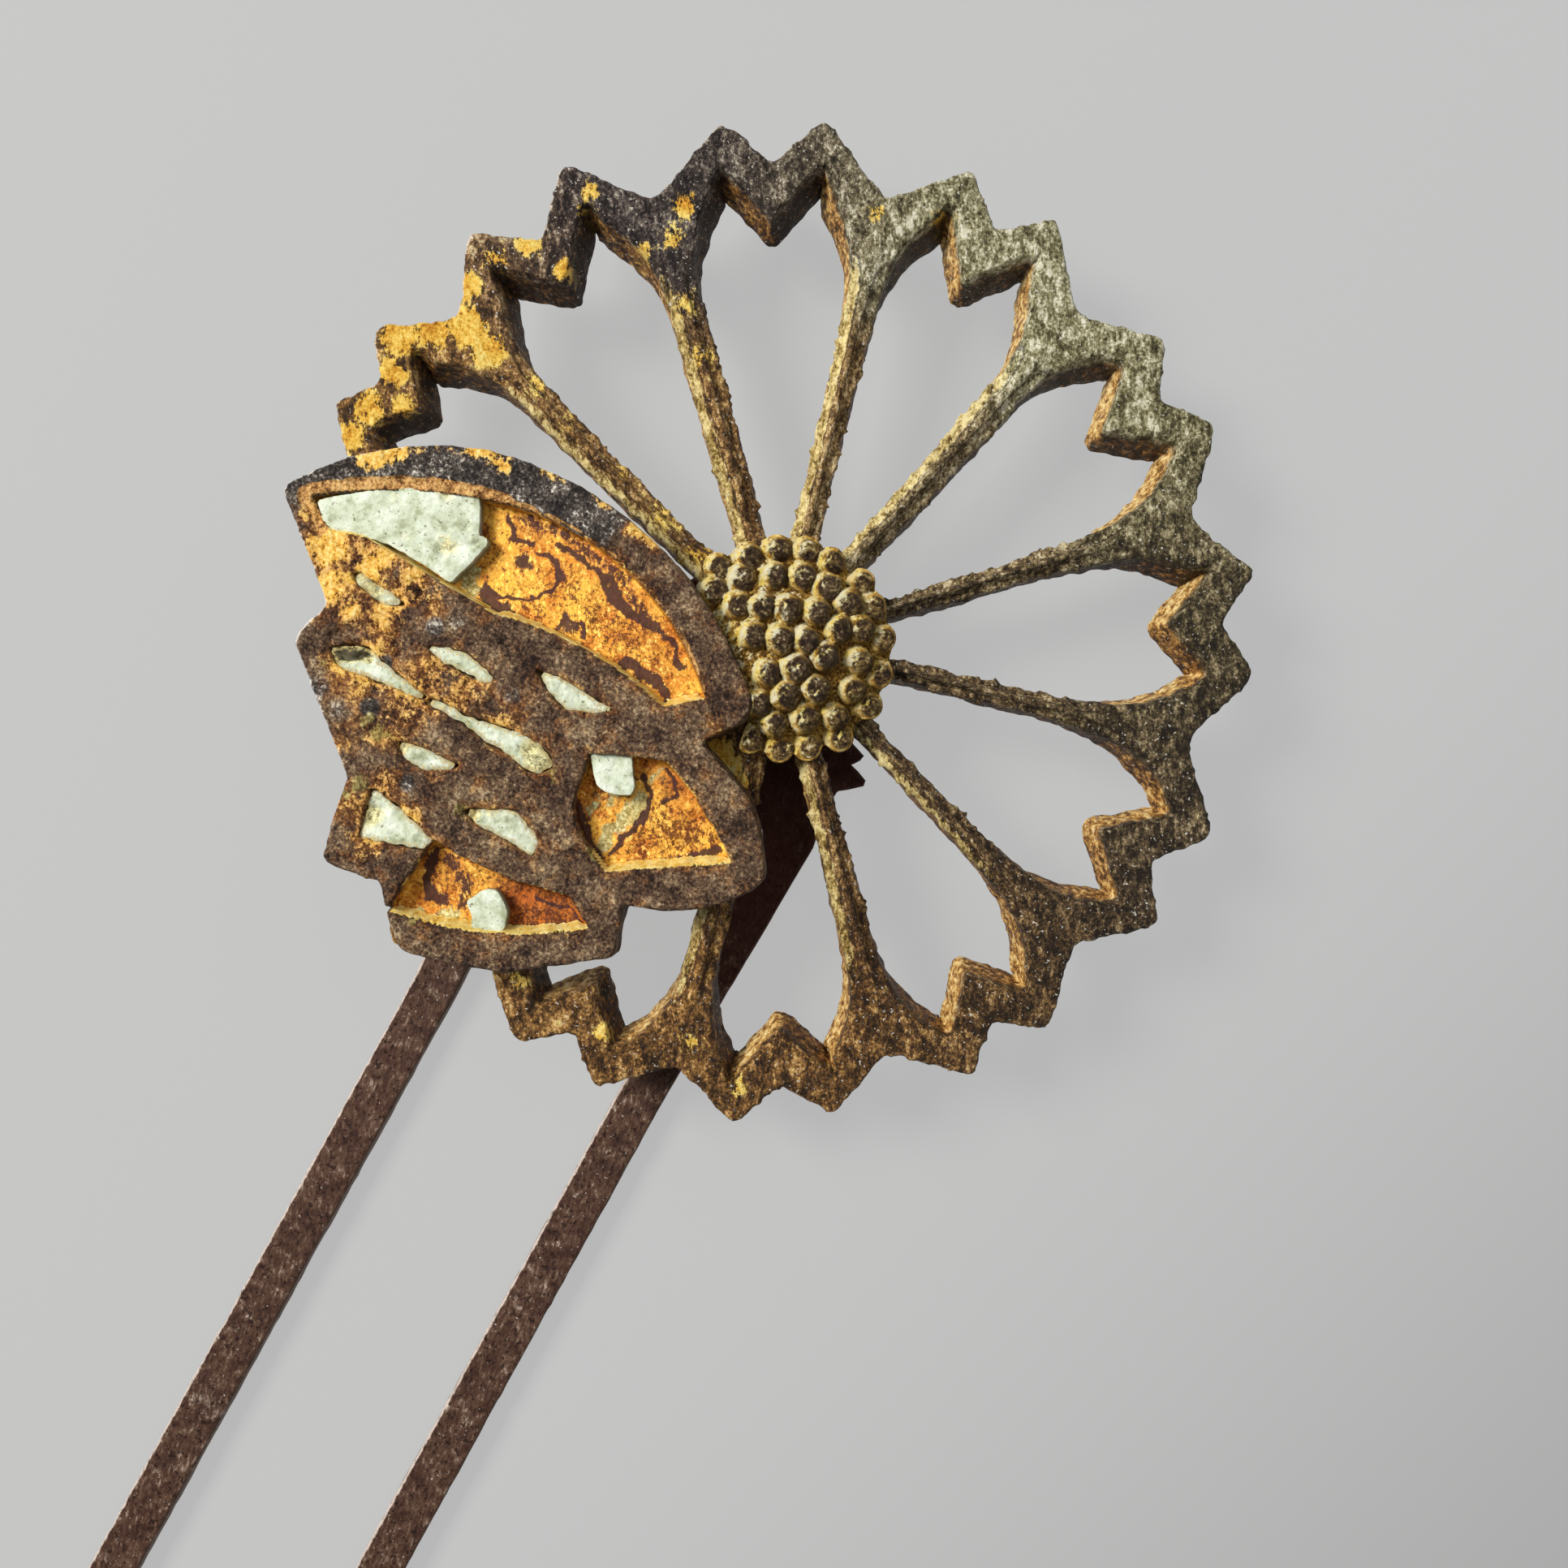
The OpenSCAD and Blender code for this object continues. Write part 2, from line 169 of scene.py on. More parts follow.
# Slots with their filling, traced: x, y
SLOTS = [
    [(-14.86, -5.97), (-14.62, -5.74), (-14.02, -5.85), (-13.33, -5.87), (-12.47, -6.01),
     (-12.83, -6.29), (-13.41, -6.46), (-14.16, -6.33), (-14.64, -6.19)],
    [(-6.76, -5.75), (-5.81, -5.6), (-4.81, -5.64), (-3.31, -5.69), (-3.93, -6.18),
     (-4.91, -6.54), (-5.5, -6.47), (-6.18, -6.1)],
    [(-11.06, -7.06), (-10.31, -6.7), (-9.57, -6.57), (-8.98, -6.65), (-8.07, -6.84),
     (-8.04, -7.09), (-8.52, -7.24), (-9.33, -7.25), (-10.12, -7.28), (-10.64, -7.2)],
    [(-14.25, -8.98), (-13.75, -8.54), (-12.93, -8.2), (-12.35, -8.38), (-11.43, -8.59),
     (-9.99, -8.79), (-10.18, -9.01), (-11.02, -9.09), (-12.54, -9.26), (-13.24, -9.42),
     (-13.69, -9.35)],
    [(-10.02, -8.81), (-9.23, -8.65), (-8.38, -8.72), (-7.04, -8.46), (-5.8, -8.25),
     (-5.2, -8.28), (-4.62, -8.5), (-4.36, -8.86), (-4.69, -9.28), (-5.28, -9.44),
     (-6.09, -9.2), (-7.17, -9.2), (-8.08, -9.02), (-9.64, -9.01)],
    [(-10.13, -10.89), (-9.59, -10.69), (-8.96, -10.6), (-7.62, -10.55), (-7.95, -10.98),
     (-8.57, -11.32), (-9.2, -11.4), (-9.81, -11.26)],
    [(-6.5, -12.0), (-6.08, -11.66), (-5.46, -11.31), (-4.77, -11.05), (-3.7, -11.43),
     (-3.39, -11.74), (-3.31, -12.22), (-3.71, -12.29), (-4.56, -12.21), (-5.92, -12.2)],
]
# The pin's outer edge on the right, from the plate's top to where the prong narrows:
# x at each y
SHOULDER = np.array([
    [1.6, 3.3], [3.2, 2.0], [4.1, 0.2], [4.7, -1.7], [5.5, -2.1], [6.45, -2.35],
    [6.05, -2.95], [7.15, -3.3], [6.15, -4.1], [6.05, -5.2], [6.4, -6.8], [6.0, -20.0],
    [6.0, -88.0],
])
# The prongs: inner edge, width, and the length and width of the narrowed end
PRONG_IN, PRONG_W = 4.1, 1.9
PRONG_TAPER, PRONG_END_W = 24.0, 0.9
# The bar's lower edge, the fillet there, how much wider apart the prongs are at the bar,
# and where they have become straight
BAR_Y, FILLET, BAR_SPLAY, STRAIGHT_Y = -6.8, 1.1, 0.28, -20.0
# The side of the square post
POST = 3.4
# Middles of the granules that can be seen: x, y
GRANULES = np.array([
    [0.21, 3.63], [1.29, 3.7], [2.75, 3.54], [3.6, 2.9], [-0.83, 3.1],
    [-1.7, 2.3], [-0.35, 2.05], [0.6, 2.55], [1.65, 2.65], [2.7, 2.5],
    [3.6, 1.85], [4.55, 2.0], [-2.6, 1.35], [-1.5, 1.35], [0.75, 1.1],
    [1.8, 1.55], [2.9, 1.4], [4.15, 0.7], [5.15, 0.7], [-2.25, 0.35],
    [-1.1, 0.3], [-0.2, 0.7], [1.95, 0.35], [2.9, 0.2], [1.05, -0.1],
    [0.05, -0.45], [4.5, -0.4], [5.4, -0.6], [2.15, -0.8], [3.2, -1.1],
    [1.25, -1.5], [4.4, -1.65], [2.3, -1.9], [3.4, -2.3], [5.0, -2.3],
    [1.45, -2.7], [2.4, -3.1], [4.05, -3.25], [1.9, -4.1], [3.1, -3.85],
])
# The seed head: the dome's radius and height, a granule's radius in the outline, and
# its radius as a knob on the dome
DOME_R, DOME_H, GRANULE_R, KNOB_R = 4.3, 1.6, 0.56, 0.63

# The camera

# The photo's width and focal length in pixels, a sensor's width, where the camera is,
# and its turn about the line of sight
PHOTO_PX = 1932
FOCAL_PX = 1800.0
SENSOR = 36.0
CAMERA_AT = (3.951, -5.006, 64.0)
ROLL = math.radians(28.9)
# The photo's left and up in the part's plane, and the way to the light between them
LEFT = -np.array([math.cos(ROLL), math.sin(ROLL)])
UP = np.array([-math.sin(ROLL), math.cos(ROLL)])
SUN = (LEFT + 0.5 * UP) / math.hypot(1.0, 0.5)


def make_camera():
    """The photo's view: straight down on the part, turned about the line of sight."""
    lens = bpy.data.cameras.new("camera")
    lens.sensor_width = SENSOR
    lens.lens = SENSOR * FOCAL_PX / PHOTO_PX
    lens.clip_start, lens.clip_end = 0.002, 20.0
    camera = bpy.data.objects.new("camera", lens)
    bpy.context.scene.collection.objects.link(camera)
    camera.location = [v * MM for v in CAMERA_AT]
    camera.rotation_euler = (0.0, 0.0, ROLL)
    bpy.context.scene.camera = camera


# Numpy tools

# Keeps a division by a length away from 0
TINY = 1e-12


def polar(r, degrees):
    """Points at radius r and angle degrees: (r cos, r sin)."""
    a = np.radians(degrees)
    return np.stack([r * np.cos(a), r * np.sin(a)], -1)


def unit(v):
    """Vectors divided by their length."""
    return v / np.maximum(np.linalg.norm(v, axis=-1, keepdims=True), TINY)


def left_of(v):
    """Plane vectors turned a quarter turn against the clock."""
    return np.stack([-v[..., 1], v[..., 0]], -1)


def smooth(lo, hi, x):
    """0 below lo, 1 above hi, and 3t^2 - 2t^3 between."""
    t = np.clip((x - lo) / (hi - lo), 0.0, 1.0)
    return t * t * (3.0 - 2.0 * t)


def lattice(ix, iy, iz, seed):
    """A repeatable number from -1 to 1 at each whole-number point: its indices mixed."""
    h = ix * np.uint64(374761393) + iy * np.uint64(668265263)
    h = h + iz * np.uint64(2246822519) + np.uint64(seed * 3266489917 % 2**32)
    h = (h ^ (h >> np.uint64(15))) * np.uint64(2654435761)
    h = (h ^ (h >> np.uint64(13))) * np.uint64(1274126177)
    h = h ^ (h >> np.uint64(16))
    return (h & np.uint64(0xFFFF)).astype(float) / 32767.5 - 1.0


def grain(p, size, seed, octaves=1):
    """Value noise: lattice numbers blended over cubes of the given size, each octave
    half the size and half as strong as the one before. The 1000 keeps the cubes'
    numbers above 0."""
    total, strength, scale = np.zeros(len(p)), 1.0, size
    for octave in range(octaves):
        q = p / scale + 1000.0
        cell = np.floor(q)
        f = q - cell
        f = f * f * (3.0 - 2.0 * f)
        i = cell.astype(np.uint64)
        for corner in range(8):
            dx, dy, dz = corner & 1, corner >> 1 & 1, corner >> 2
            w = (f[:, 0] if dx else 1 - f[:, 0]) * (f[:, 1] if dy else 1 - f[:, 1])
            w = w * (f[:, 2] if dz else 1 - f[:, 2])
            total += strength * w * lattice(
                i[:, 0] + np.uint64(dx), i[:, 1] + np.uint64(dy), i[:, 2] + np.uint64(dz),
                seed + 17 * octave)
        strength, scale = strength / 2, scale / 2
    return total


def on_plane(xy):
    """Plane points as points in space, at height 0."""
    return np.column_stack([xy, np.zeros(len(xy))])


def strayed(xy, amount, size, seed, octaves=2):
    """Plane points moved by noise, so that what is drawn on them has wandering edges."""
    here = on_plane(xy)
    return xy + amount * np.stack(
        [grain(here, size, seed, octaves), grain(here, size, seed + 1, octaves)], -1)


def bowed_outline(corners, steps=9):
    """A closed outline: each side is its chord plus 4 bow t(1-t) to its left. Corners
    without a bow have straight sides."""
    rows = np.array(corners, float)
    p, q = rows[:, None, :2], np.roll(rows, -1, 0)[:, None, :2]
    bow = rows[:, None, 2:] if rows.shape[1] > 2 else 0.0
    t = (np.arange(steps) / steps)[None, :, None]
    side = p + t * (q - p) + 4 * bow * t * (1 - t) * left_of(unit(q - p))
    return side.reshape(-1, 2)


def even_loop(loop, step):
    """The same closed outline with points at even distances."""
    closed = np.concatenate([loop, loop[:1]])
    at = np.concatenate([[0], np.cumsum(np.linalg.norm(np.diff(closed, axis=0), axis=1))])
    count = max(12, int(at[-1] / step))
    where = np.arange(count) * at[-1] / count
    return np.stack([np.interp(where, at, closed[:, c]) for c in (0, 1)], -1)


def eased(loop, passes):
    """Closed outlines with their corners rounded: each pass is the 1-2-1 mean."""
    for _ in range(passes):
        loop = (np.roll(loop, 1, -2) + 2 * loop + np.roll(loop, -1, -2)) / 4
    return loop


def along(loop):
    """The direction of closed outlines at each point: from one neighbour to the next."""
    return unit(np.roll(loop, -1, -2) - np.roll(loop, 1, -2))


def moved_in(loop, d):
    """A loop that runs with the clock, moved inwards by d along its own normals."""
    return loop - d * left_of(along(loop))


def merged(points):
    """Points that agree to a hundred-thousandth of a millimetre made one. Returns the
    places of the points that stay, and for every point which of them it became."""
    _, first, became = np.unique(np.round(points * 1e5).astype(np.int64), axis=0,
                                 return_index=True, return_inverse=True)
    return first, became.ravel()


# Pairs of a point and a side that are measured at once, to keep the arrays small
MOST_PAIRS = 3000000
# How near to the outline a grid's points may come, as a share of its step
LEAST_GAP = 0.35


def nearest(xy, loop):
    """For each point: its distance to a closed outline, above 0 inside, and the nearest
    point on it. The distance is the least over the sides; its sign counts crossings."""
    a, b = loop, np.roll(loop, -1, 0)
    ab = b - a
    gap, foot = np.empty(len(xy)), np.empty((len(xy), 2))
    rise = np.where(np.abs(ab[:, 1]) < TINY, TINY, ab[:, 1])
    chunks = 1 + len(xy) * len(loop) // MOST_PAIRS
    for part in np.array_split(np.arange(len(xy)), chunks):
        p = xy[part][:, None]
        t = np.clip(((p - a) * ab).sum(-1) / np.maximum((ab * ab).sum(-1), TINY), 0, 1)
        on = a + t[..., None] * ab
        d2 = ((p - on) ** 2).sum(-1)
        best = d2.argmin(1)
        rows = np.arange(len(part))
        foot[part] = on[rows, best]
        x, y = p[..., 0], p[..., 1]
        crossed = ((a[:, 1] > y) != (b[:, 1] > y)) & (
            x < ab[:, 0] * (y - a[:, 1]) / rise + a[:, 0])
        inside = crossed.sum(1) % 2 == 1
        gap[part] = np.sqrt(d2[rows, best]) * np.where(inside, 1.0, -1.0)
    return gap, foot


def near_line(xy, line, wide):
    """1 on an open line of points, falling smoothly to 0 at distance wide from it."""
    best = np.full(len(xy), np.inf)
    for a, b in zip(line[:-1], line[1:]):
        a, b = np.array(a, float), np.array(b, float)
        t = np.clip(((xy - a) @ (b - a)) / max((b - a) @ (b - a), TINY), 0, 1)
        best = np.minimum(best, np.linalg.norm(xy - a - t[:, None] * (b - a), axis=1))
    return 1.0 - smooth(0.0, wide, best)


def blobs(xy, rows):
    """The largest of several round patches: strength at the middle, 0 past the radius.
    Columns: x, y, radius, strength."""
    total = np.zeros(len(xy))
    for x, y, r, strength in rows:
        d = np.linalg.norm(xy - [x, y], axis=1)
        total = np.maximum(total, strength * (1.0 - smooth(0.0, r, d)))
    return total


def border_edges(quads):
    """The directed edges that only one face has, with the region on their left."""
    a = quads.ravel()
    b = np.roll(quads, -1, 1).ravel()
    key = np.minimum(a, b) * (quads.max() + 1) + np.maximum(a, b)
    _, first, count = np.unique(key, return_index=True, return_counts=True)
    lone = first[count == 1]
    return a[lone], b[lone]


def grid_sheet(loop, step):
    """A square grid over the inside of an outline, its border moved onto the outline.
    Returns the points and the faces, which run against the clock."""
    lo, hi = loop.min(0) - step, loop.max(0) + step
    nx, ny = np.ceil((hi - lo) / step).astype(int) + 1
    gx, gy = np.meshgrid(np.arange(nx), np.arange(ny), indexing="ij")
    xy = lo + step * np.stack([gx.ravel(), gy.ravel()], -1)
    gap, _ = nearest(xy, loop)
    keep = (gap > LEAST_GAP * step).reshape(nx, ny)
    i = np.arange(nx * ny).reshape(nx, ny)
    full = keep[:-1, :-1] & keep[1:, :-1] & keep[1:, 1:] & keep[:-1, 1:]
    quads = np.stack([i[:-1, :-1], i[1:, :-1], i[1:, 1:], i[:-1, 1:]], -1)[full]
    used, flat = np.unique(quads, return_inverse=True)
    quads, xy = flat.reshape(-1, 4), xy[used]
    rim = np.unique(border_edges(quads)[0])
    _, foot = nearest(xy[rim], loop)
    xy[rim] = foot
    return xy, quads


class Sheet:
    """A flat region of quads that becomes a solid: its top carries heights, its border
    gets a rounded edge, a wall and a rounded lower edge, and its back is closed. Each
    point is marked 0 on the top to 1 on the wall, and has the sheet point it stands by."""

    EDGE_MARK, WALL_MARK, BACK_MARK = 0.5, 1.0, 0.6

    def __init__(self, xy, quads, top):
        self.xy, self.quads, self.top = xy, quads, top
        self.a, self.b = border_edges(quads)
        self.rim = np.unique(np.concatenate([self.a, self.b]))
        self.rank = np.full(len(xy), -1)
        self.rank[self.rim] = np.arange(len(self.rim))
        self.points, self.marks, self.base = [], [], []
        self.faces, self.tris = [quads], np.zeros((0, 3), int)
        self.ring = self.a, self.b

    def outward(self):
        """Plane normals at the border points: the mean of their two border edges'."""
        n = np.zeros((len(self.xy), 2))
        right = -left_of(unit(self.xy[self.b] - self.xy[self.a]))
        np.add.at(n, self.a, right)
        np.add.at(n, self.b, right)
        return unit(n[self.rim])

    def add_points(self, points, mark, base):
        """More points of the solid. Returns the place of the first."""
        start = sum(len(row) for row in self.points)
        self.points.append(points)
        self.marks.append(np.full(len(points), mark))
        self.base.append(base)
        return start

    def add_ring(self, xy, z, mark):
        """A row of points all round the border, and the faces that lead down to it from
        the row before."""
        start = self.add_points(np.column_stack([xy, z]), mark, self.rim)
        ring = start + self.rank[self.a], start + self.rank[self.b]
        self.faces.append(np.stack([self.ring[0], *ring, self.ring[1]], -1))
        self.ring = ring

    def copy_back(self, back):
        """A back that has the top's faces, turned over."""
        inner = np.flatnonzero(self.rank < 0)
        start = self.add_points(
            np.column_stack([self.xy[inner], np.full(len(inner), back)]), self.BACK_MARK, inner)
        place = start - len(self.rim) + self.rank
        place[inner] = start + np.arange(len(inner))
        self.faces.append(place[self.quads][:, ::-1])

    def fan_back(self, back, mid):
        """A back of rings that shrink towards mid, and of triangles to mid."""
        foot = self.points[-1][:, :2]
        for share in (0.75, 0.45, 0.2):
            self.add_ring(mid + share * (foot - mid), np.full(len(foot), back), self.BACK_MARK)
        middle = self.add_points(np.array([[*mid, back]]), self.BACK_MARK, self.rim[:1])
        self.tris = np.stack([self.ring[0], np.full(len(self.a), middle), self.ring[1]], -1)

    def solid(self, back, edge=0.2, foot=0.08, walls=4, out=None, lean=0.0, mid=None):
        """Points and faces of the solid. Rows go round from the top's border: a quarter
        round of radius edge, straight wall rows that move out by lean, and a small round
        of radius foot. The back is a fan to mid, or a copy of the top where mid is
        None. Returns points, faces, marks, and the sheet points they stand by."""
        self.add_points(np.column_stack([self.xy, self.top]), 0.0, np.arange(len(self.xy)))
        out = self.outward() if out is None else out
        xy, top = self.xy[self.rim], self.top[self.rim]
        lean = np.broadcast_to(lean, len(self.rim))
        depth = top - edge - back - foot
        rows = []
        for turn in np.radians([22.5, 45, 67.5, 90]):
            drop = edge * (1 - np.cos(turn))
            rows.append((edge * np.sin(turn) + 0 * lean, top - drop, self.EDGE_MARK))
        for j in range(1, walls + 1):
            down = top - edge - depth * j / walls
            rows.append((edge + lean * j / walls, down, self.WALL_MARK))
        rows.append((edge + lean - 0.3 * foot, back + 0.3 * foot + 0 * top, self.WALL_MARK))
        rows.append((edge + lean - foot, back + 0 * top, self.BACK_MARK))
        for shift, z, mark in rows:
            self.add_ring(xy + shift[:, None] * out, z, mark)
        if mid is None:
            self.copy_back(back)
        else:
            self.fan_back(back, mid)
        return (np.concatenate(self.points), (np.concatenate(self.faces), self.tris),
                np.concatenate(self.marks), np.concatenate(self.base))


def normals(points, faces):
    """Point normals: the sum of the area vectors of the faces round each point."""
    n = np.zeros_like(points)
    for group in faces:
        if len(group):
            v = points[group]
            area = np.cross(v[:, 2] - v[:, 0], v[:, -1] - v[:, 1])
            for c in range(group.shape[1]):
                np.add.at(n, group[:, c], area)
    return unit(n)


def make_piece(name, points, faces, material, slot, nodes, **fields):
    """A smooth-shaded mesh from numpy arrays, with its point attributes, riding on the
    one body and standing for its CAD nodes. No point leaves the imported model's box. The
    fields are numbers for each point, by name."""
    quads, tris = faces
    points = np.clip(points, *(np.array(cad_box) / MM))
    mesh = bpy.data.meshes.new(name)
    mesh.vertices.add(len(points))
    mesh.vertices.foreach_set("co", (points * MM).astype(np.float32).ravel())
    loops = np.concatenate([quads.ravel(), tris.ravel()]).astype(np.int32)
    starts = np.concatenate([
        np.arange(len(quads)) * 4, len(quads) * 4 + np.arange(len(tris)) * 3])
    mesh.loops.add(len(loops))
    mesh.loops.foreach_set("vertex_index", loops)
    mesh.polygons.add(len(starts))
    mesh.polygons.foreach_set("loop_start", starts.astype(np.int32))
    mesh.update(calc_edges=True)
    mesh.validate()
    mesh.shade_smooth()
    for key, values in fields.items():
        layer = mesh.attributes.new(key, "FLOAT", "POINT")
        layer.data.foreach_set("value", np.asarray(values, np.float32))
    mesh.materials.append(material)
    piece = bpy.data.objects.new(name, mesh)
    bpy.context.scene.collection.objects.link(piece)
    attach(piece, "root")
    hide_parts(*nodes)


# Shader tools


def tone(r, g, b):
    """A colour given as it looks on screen, 0 to 255, as the linear numbers it stands for."""
    return tuple(((v / 255 + 0.055) / 1.055) ** 2.4 if v > 10 else v / 3295 for v in (r, g, b))


class Socket:
    """An output socket with arithmetic: + - and * add Math nodes."""

    def __init__(self, tree, out):
        self.tree, self.out = tree, out

    def math(self, kind, *others):
        """A Math node of the given kind, with this socket first."""
        return self.tree.add("ShaderNodeMath", {"operation": kind},
                             dict(enumerate((self, *others))))

    def __add__(self, other):
        return self.math("ADD", other)

    def __radd__(self, other):
        return self.math("ADD", other)

    def __sub__(self, other):
        return self.math("SUBTRACT", other)

    def __rsub__(self, other):
        return self.tree.add("ShaderNodeMath", {"operation": "SUBTRACT"}, {0: other, 1: self})

    def __mul__(self, other):
        return self.math("MULTIPLY", other)

    def __rmul__(self, other):
        return self.math("MULTIPLY", other)


class Tree:
    """One material's nodes."""

    def __init__(self, name):
        self.material = bpy.data.materials.new(name)
        self.material.use_nodes = True
        self.nodes = self.material.node_tree.nodes
        self.links = self.material.node_tree.links
        self.nodes.clear()
        self.place = self.add("ShaderNodeTexCoord", {}, {}, "Object")

    def add(self, kind, settings, sockets, out=0):
        """A node of any type: its settings first, then its sockets' values or links."""
        node = self.nodes.new(kind)
        for key, value in settings.items():
            if key == "stops":
                ramp = node.color_ramp
                while len(ramp.elements) < len(value):
                    ramp.elements.new(0.5)
                for element, (at, colour) in zip(ramp.elements, value):
                    element.position, element.color = at, (*colour, 1.0)
            else:
                setattr(node, key, value)
        for key, value in sockets.items():
            if isinstance(value, Socket):
                self.links.new(value.out, node.inputs[key])
            else:
                node.inputs[key].default_value = value
        return Socket(self, node.outputs[out])

    def noise(self, size, detail=3.0, rough=0.55, at=None, shift=0.0):
        """Noise about 0.5 with features of the given size in millimetres. A shift picks
        another part of the same noise."""
        at = at or self.place
        if shift:
            at = self.add("ShaderNodeVectorMath", {"operation": "ADD"},
                          {0: at, 1: (shift * MM, shift * MM, shift * MM)})
        return self.add("ShaderNodeTexNoise", {}, {
            "Vector": at, "Scale": 1.0 / (size * MM), "Detail": detail,
            "Roughness": rough}, "Fac")

    def drawn_out(self, turn, stretch):
        """Object coordinates turned about Z and squeezed along the new Y, which draws a
        pattern out that way."""
        return self.add("ShaderNodeMapping", {"vector_type": "TEXTURE"}, {
            "Vector": self.place, "Rotation": (0.0, 0.0, turn),
            "Scale": (1.0, stretch, 1.0)}, "Vector")

    def field(self, name):
        """A number painted on the mesh's points."""
        return self.add("ShaderNodeAttribute", {"attribute_name": name}, {}, "Fac")

    def step(self, x, lo, hi):
        """0 below lo and 1 above hi, smooth between; the reverse where hi is the less."""
        return self.add("ShaderNodeMapRange", {"interpolation_type": "SMOOTHSTEP"},
                        {"Value": x, "From Min": lo, "From Max": hi}, "Result")

    def mix(self, share, a, b):
        """Colour a where share is 0, b where it is 1."""
        a = a if isinstance(a, Socket) else (*a, 1.0)
        b = b if isinstance(b, Socket) else (*b, 1.0)
        first, second, result = 6, 7, 2
        return self.add("ShaderNodeMix", {"data_type": "RGBA"},
                        {0: share, first: a, second: b}, result)

    def ramp(self, x, *stops):
        """Colours along x. Stops: where, then the colour as it looks on screen."""
        return self.add("ShaderNodeValToRGB",
                        {"stops": [(at, tone(*rgb)) for at, *rgb in stops]}, {0: x})

    def finish(self, colour, roughness, metallic, height, depth_mm, **fixed):
        """The one shader: colour, roughness and metallic, with height as its bump."""
        bump = self.add("ShaderNodeBump", {}, {
            "Strength": 1.0, "Distance": depth_mm * MM, "Height": height}, "Normal")
        shader = self.add("ShaderNodeBsdfPrincipled", {}, {
            "Base Color": colour, "Roughness": roughness, "Metallic": metallic,
            "Normal": bump, "Specular IOR Level": 0.25, **fixed})
        out = self.nodes.new("ShaderNodeOutputMaterial")
        self.links.new(shader.out, out.inputs["Surface"])
        return self.material


# The flower

# The radius of the rim's rounded edges and the lean of its outer wall
RIM_EDGE = 0.2
RIM_LEAN = 0.06
# How far a spoke's bevel drops from its middle line to its edges
SPOKE_BEVEL = 0.4
# How far short of the notch the straight stretch of a spoke ends
STRAIGHT_END = FLARE[0, 0] + 1.2
# Points along each stretch between two control points: along a spoke from the hub
# outwards, round a petal's tips, and across the hub; then all round an opening
ALONG_SPOKE = [58, 10, 10, 10, 10, 9]
ROUND_TIPS = [22, 28, 28, 22]
ACROSS_HUB = [4, 4]
ROUND_OPENING = ALONG_SPOKE + ROUND_TIPS + ALONG_SPOKE[::-1] + ACROSS_HUB
# How much each control point round an opening belongs to the rim
RIM_SHARE = [0, 0, 0.1, 0.35, 0.7, 0.95, 1, 1, 1, 1, 1, 0.95, 0.7, 0.35, 0.1, 0, 0, 0, 0]
# How many times their corners are eased
RIM_PASSES, OPENING_PASSES = 13, 8
# How much wider an opening is at the face than half way down, along the spokes, and
# how much more than that along the rim
SPOKE_WIDEN, RIM_WIDEN = 0.02, 0.22
# Between which distances from the middle the spokes' look turns to the rim's
RIM_FADE = 11.0, 14.5
# How high grains may stand above the face
GRAIN_TOP = 0.12
# Where a rung has its points, from the opening's edge to its far end
RUNG = np.array([0, 0.07, 0.18, 0.34, 0.52, 0.7, 0.88, 1.0])
# What the rim looks like at each angle round the flower: angle, lightness, grey-green
# crust, cool dark skin, warm brown
RIM_TONES = [
    [20, 0.24, 0.5, 0.2, 0.1], [33, 0.27, 0.6, 0.2, 0.1], [57, 0.58, 0.95, 0.0, 0.0],
    [80, 0.7, 1.0, 0.0, 0.0], [98, 0.68, 0.95, 0.1, 0.0], [112, 0.5, 0.5, 0.5, 0.0],
    [125, 0.38, 0.15, 0.9, 0.0], [141, 0.4, 0.0, 1.0, 0.0], [152, 0.45, 0.0, 0.7, 0.3],
    [166, 0.6, 0.0, 0.1, 0.9], [190, 0.5, 0.0, 0.1, 1.0], [240, 0.5, 0.0, 0.0, 1.0],
    [270, 0.49, 0.0, 0.0, 1.0], [290, 0.39, 0.0, 0.0, 1.0], [312, 0.32, 0.0, 0.0, 0.9],
    [330, 0.29, 0.1, 0.0, 0.55], [353, 0.25, 0.2, 0.2, 0.1],
]
# How warm brown the spokes are: angles round the flower, and strengths there
WARM_SPOKES = [70, 110, 310, 345], [0.1, 0.75, 0.75, 0.2]
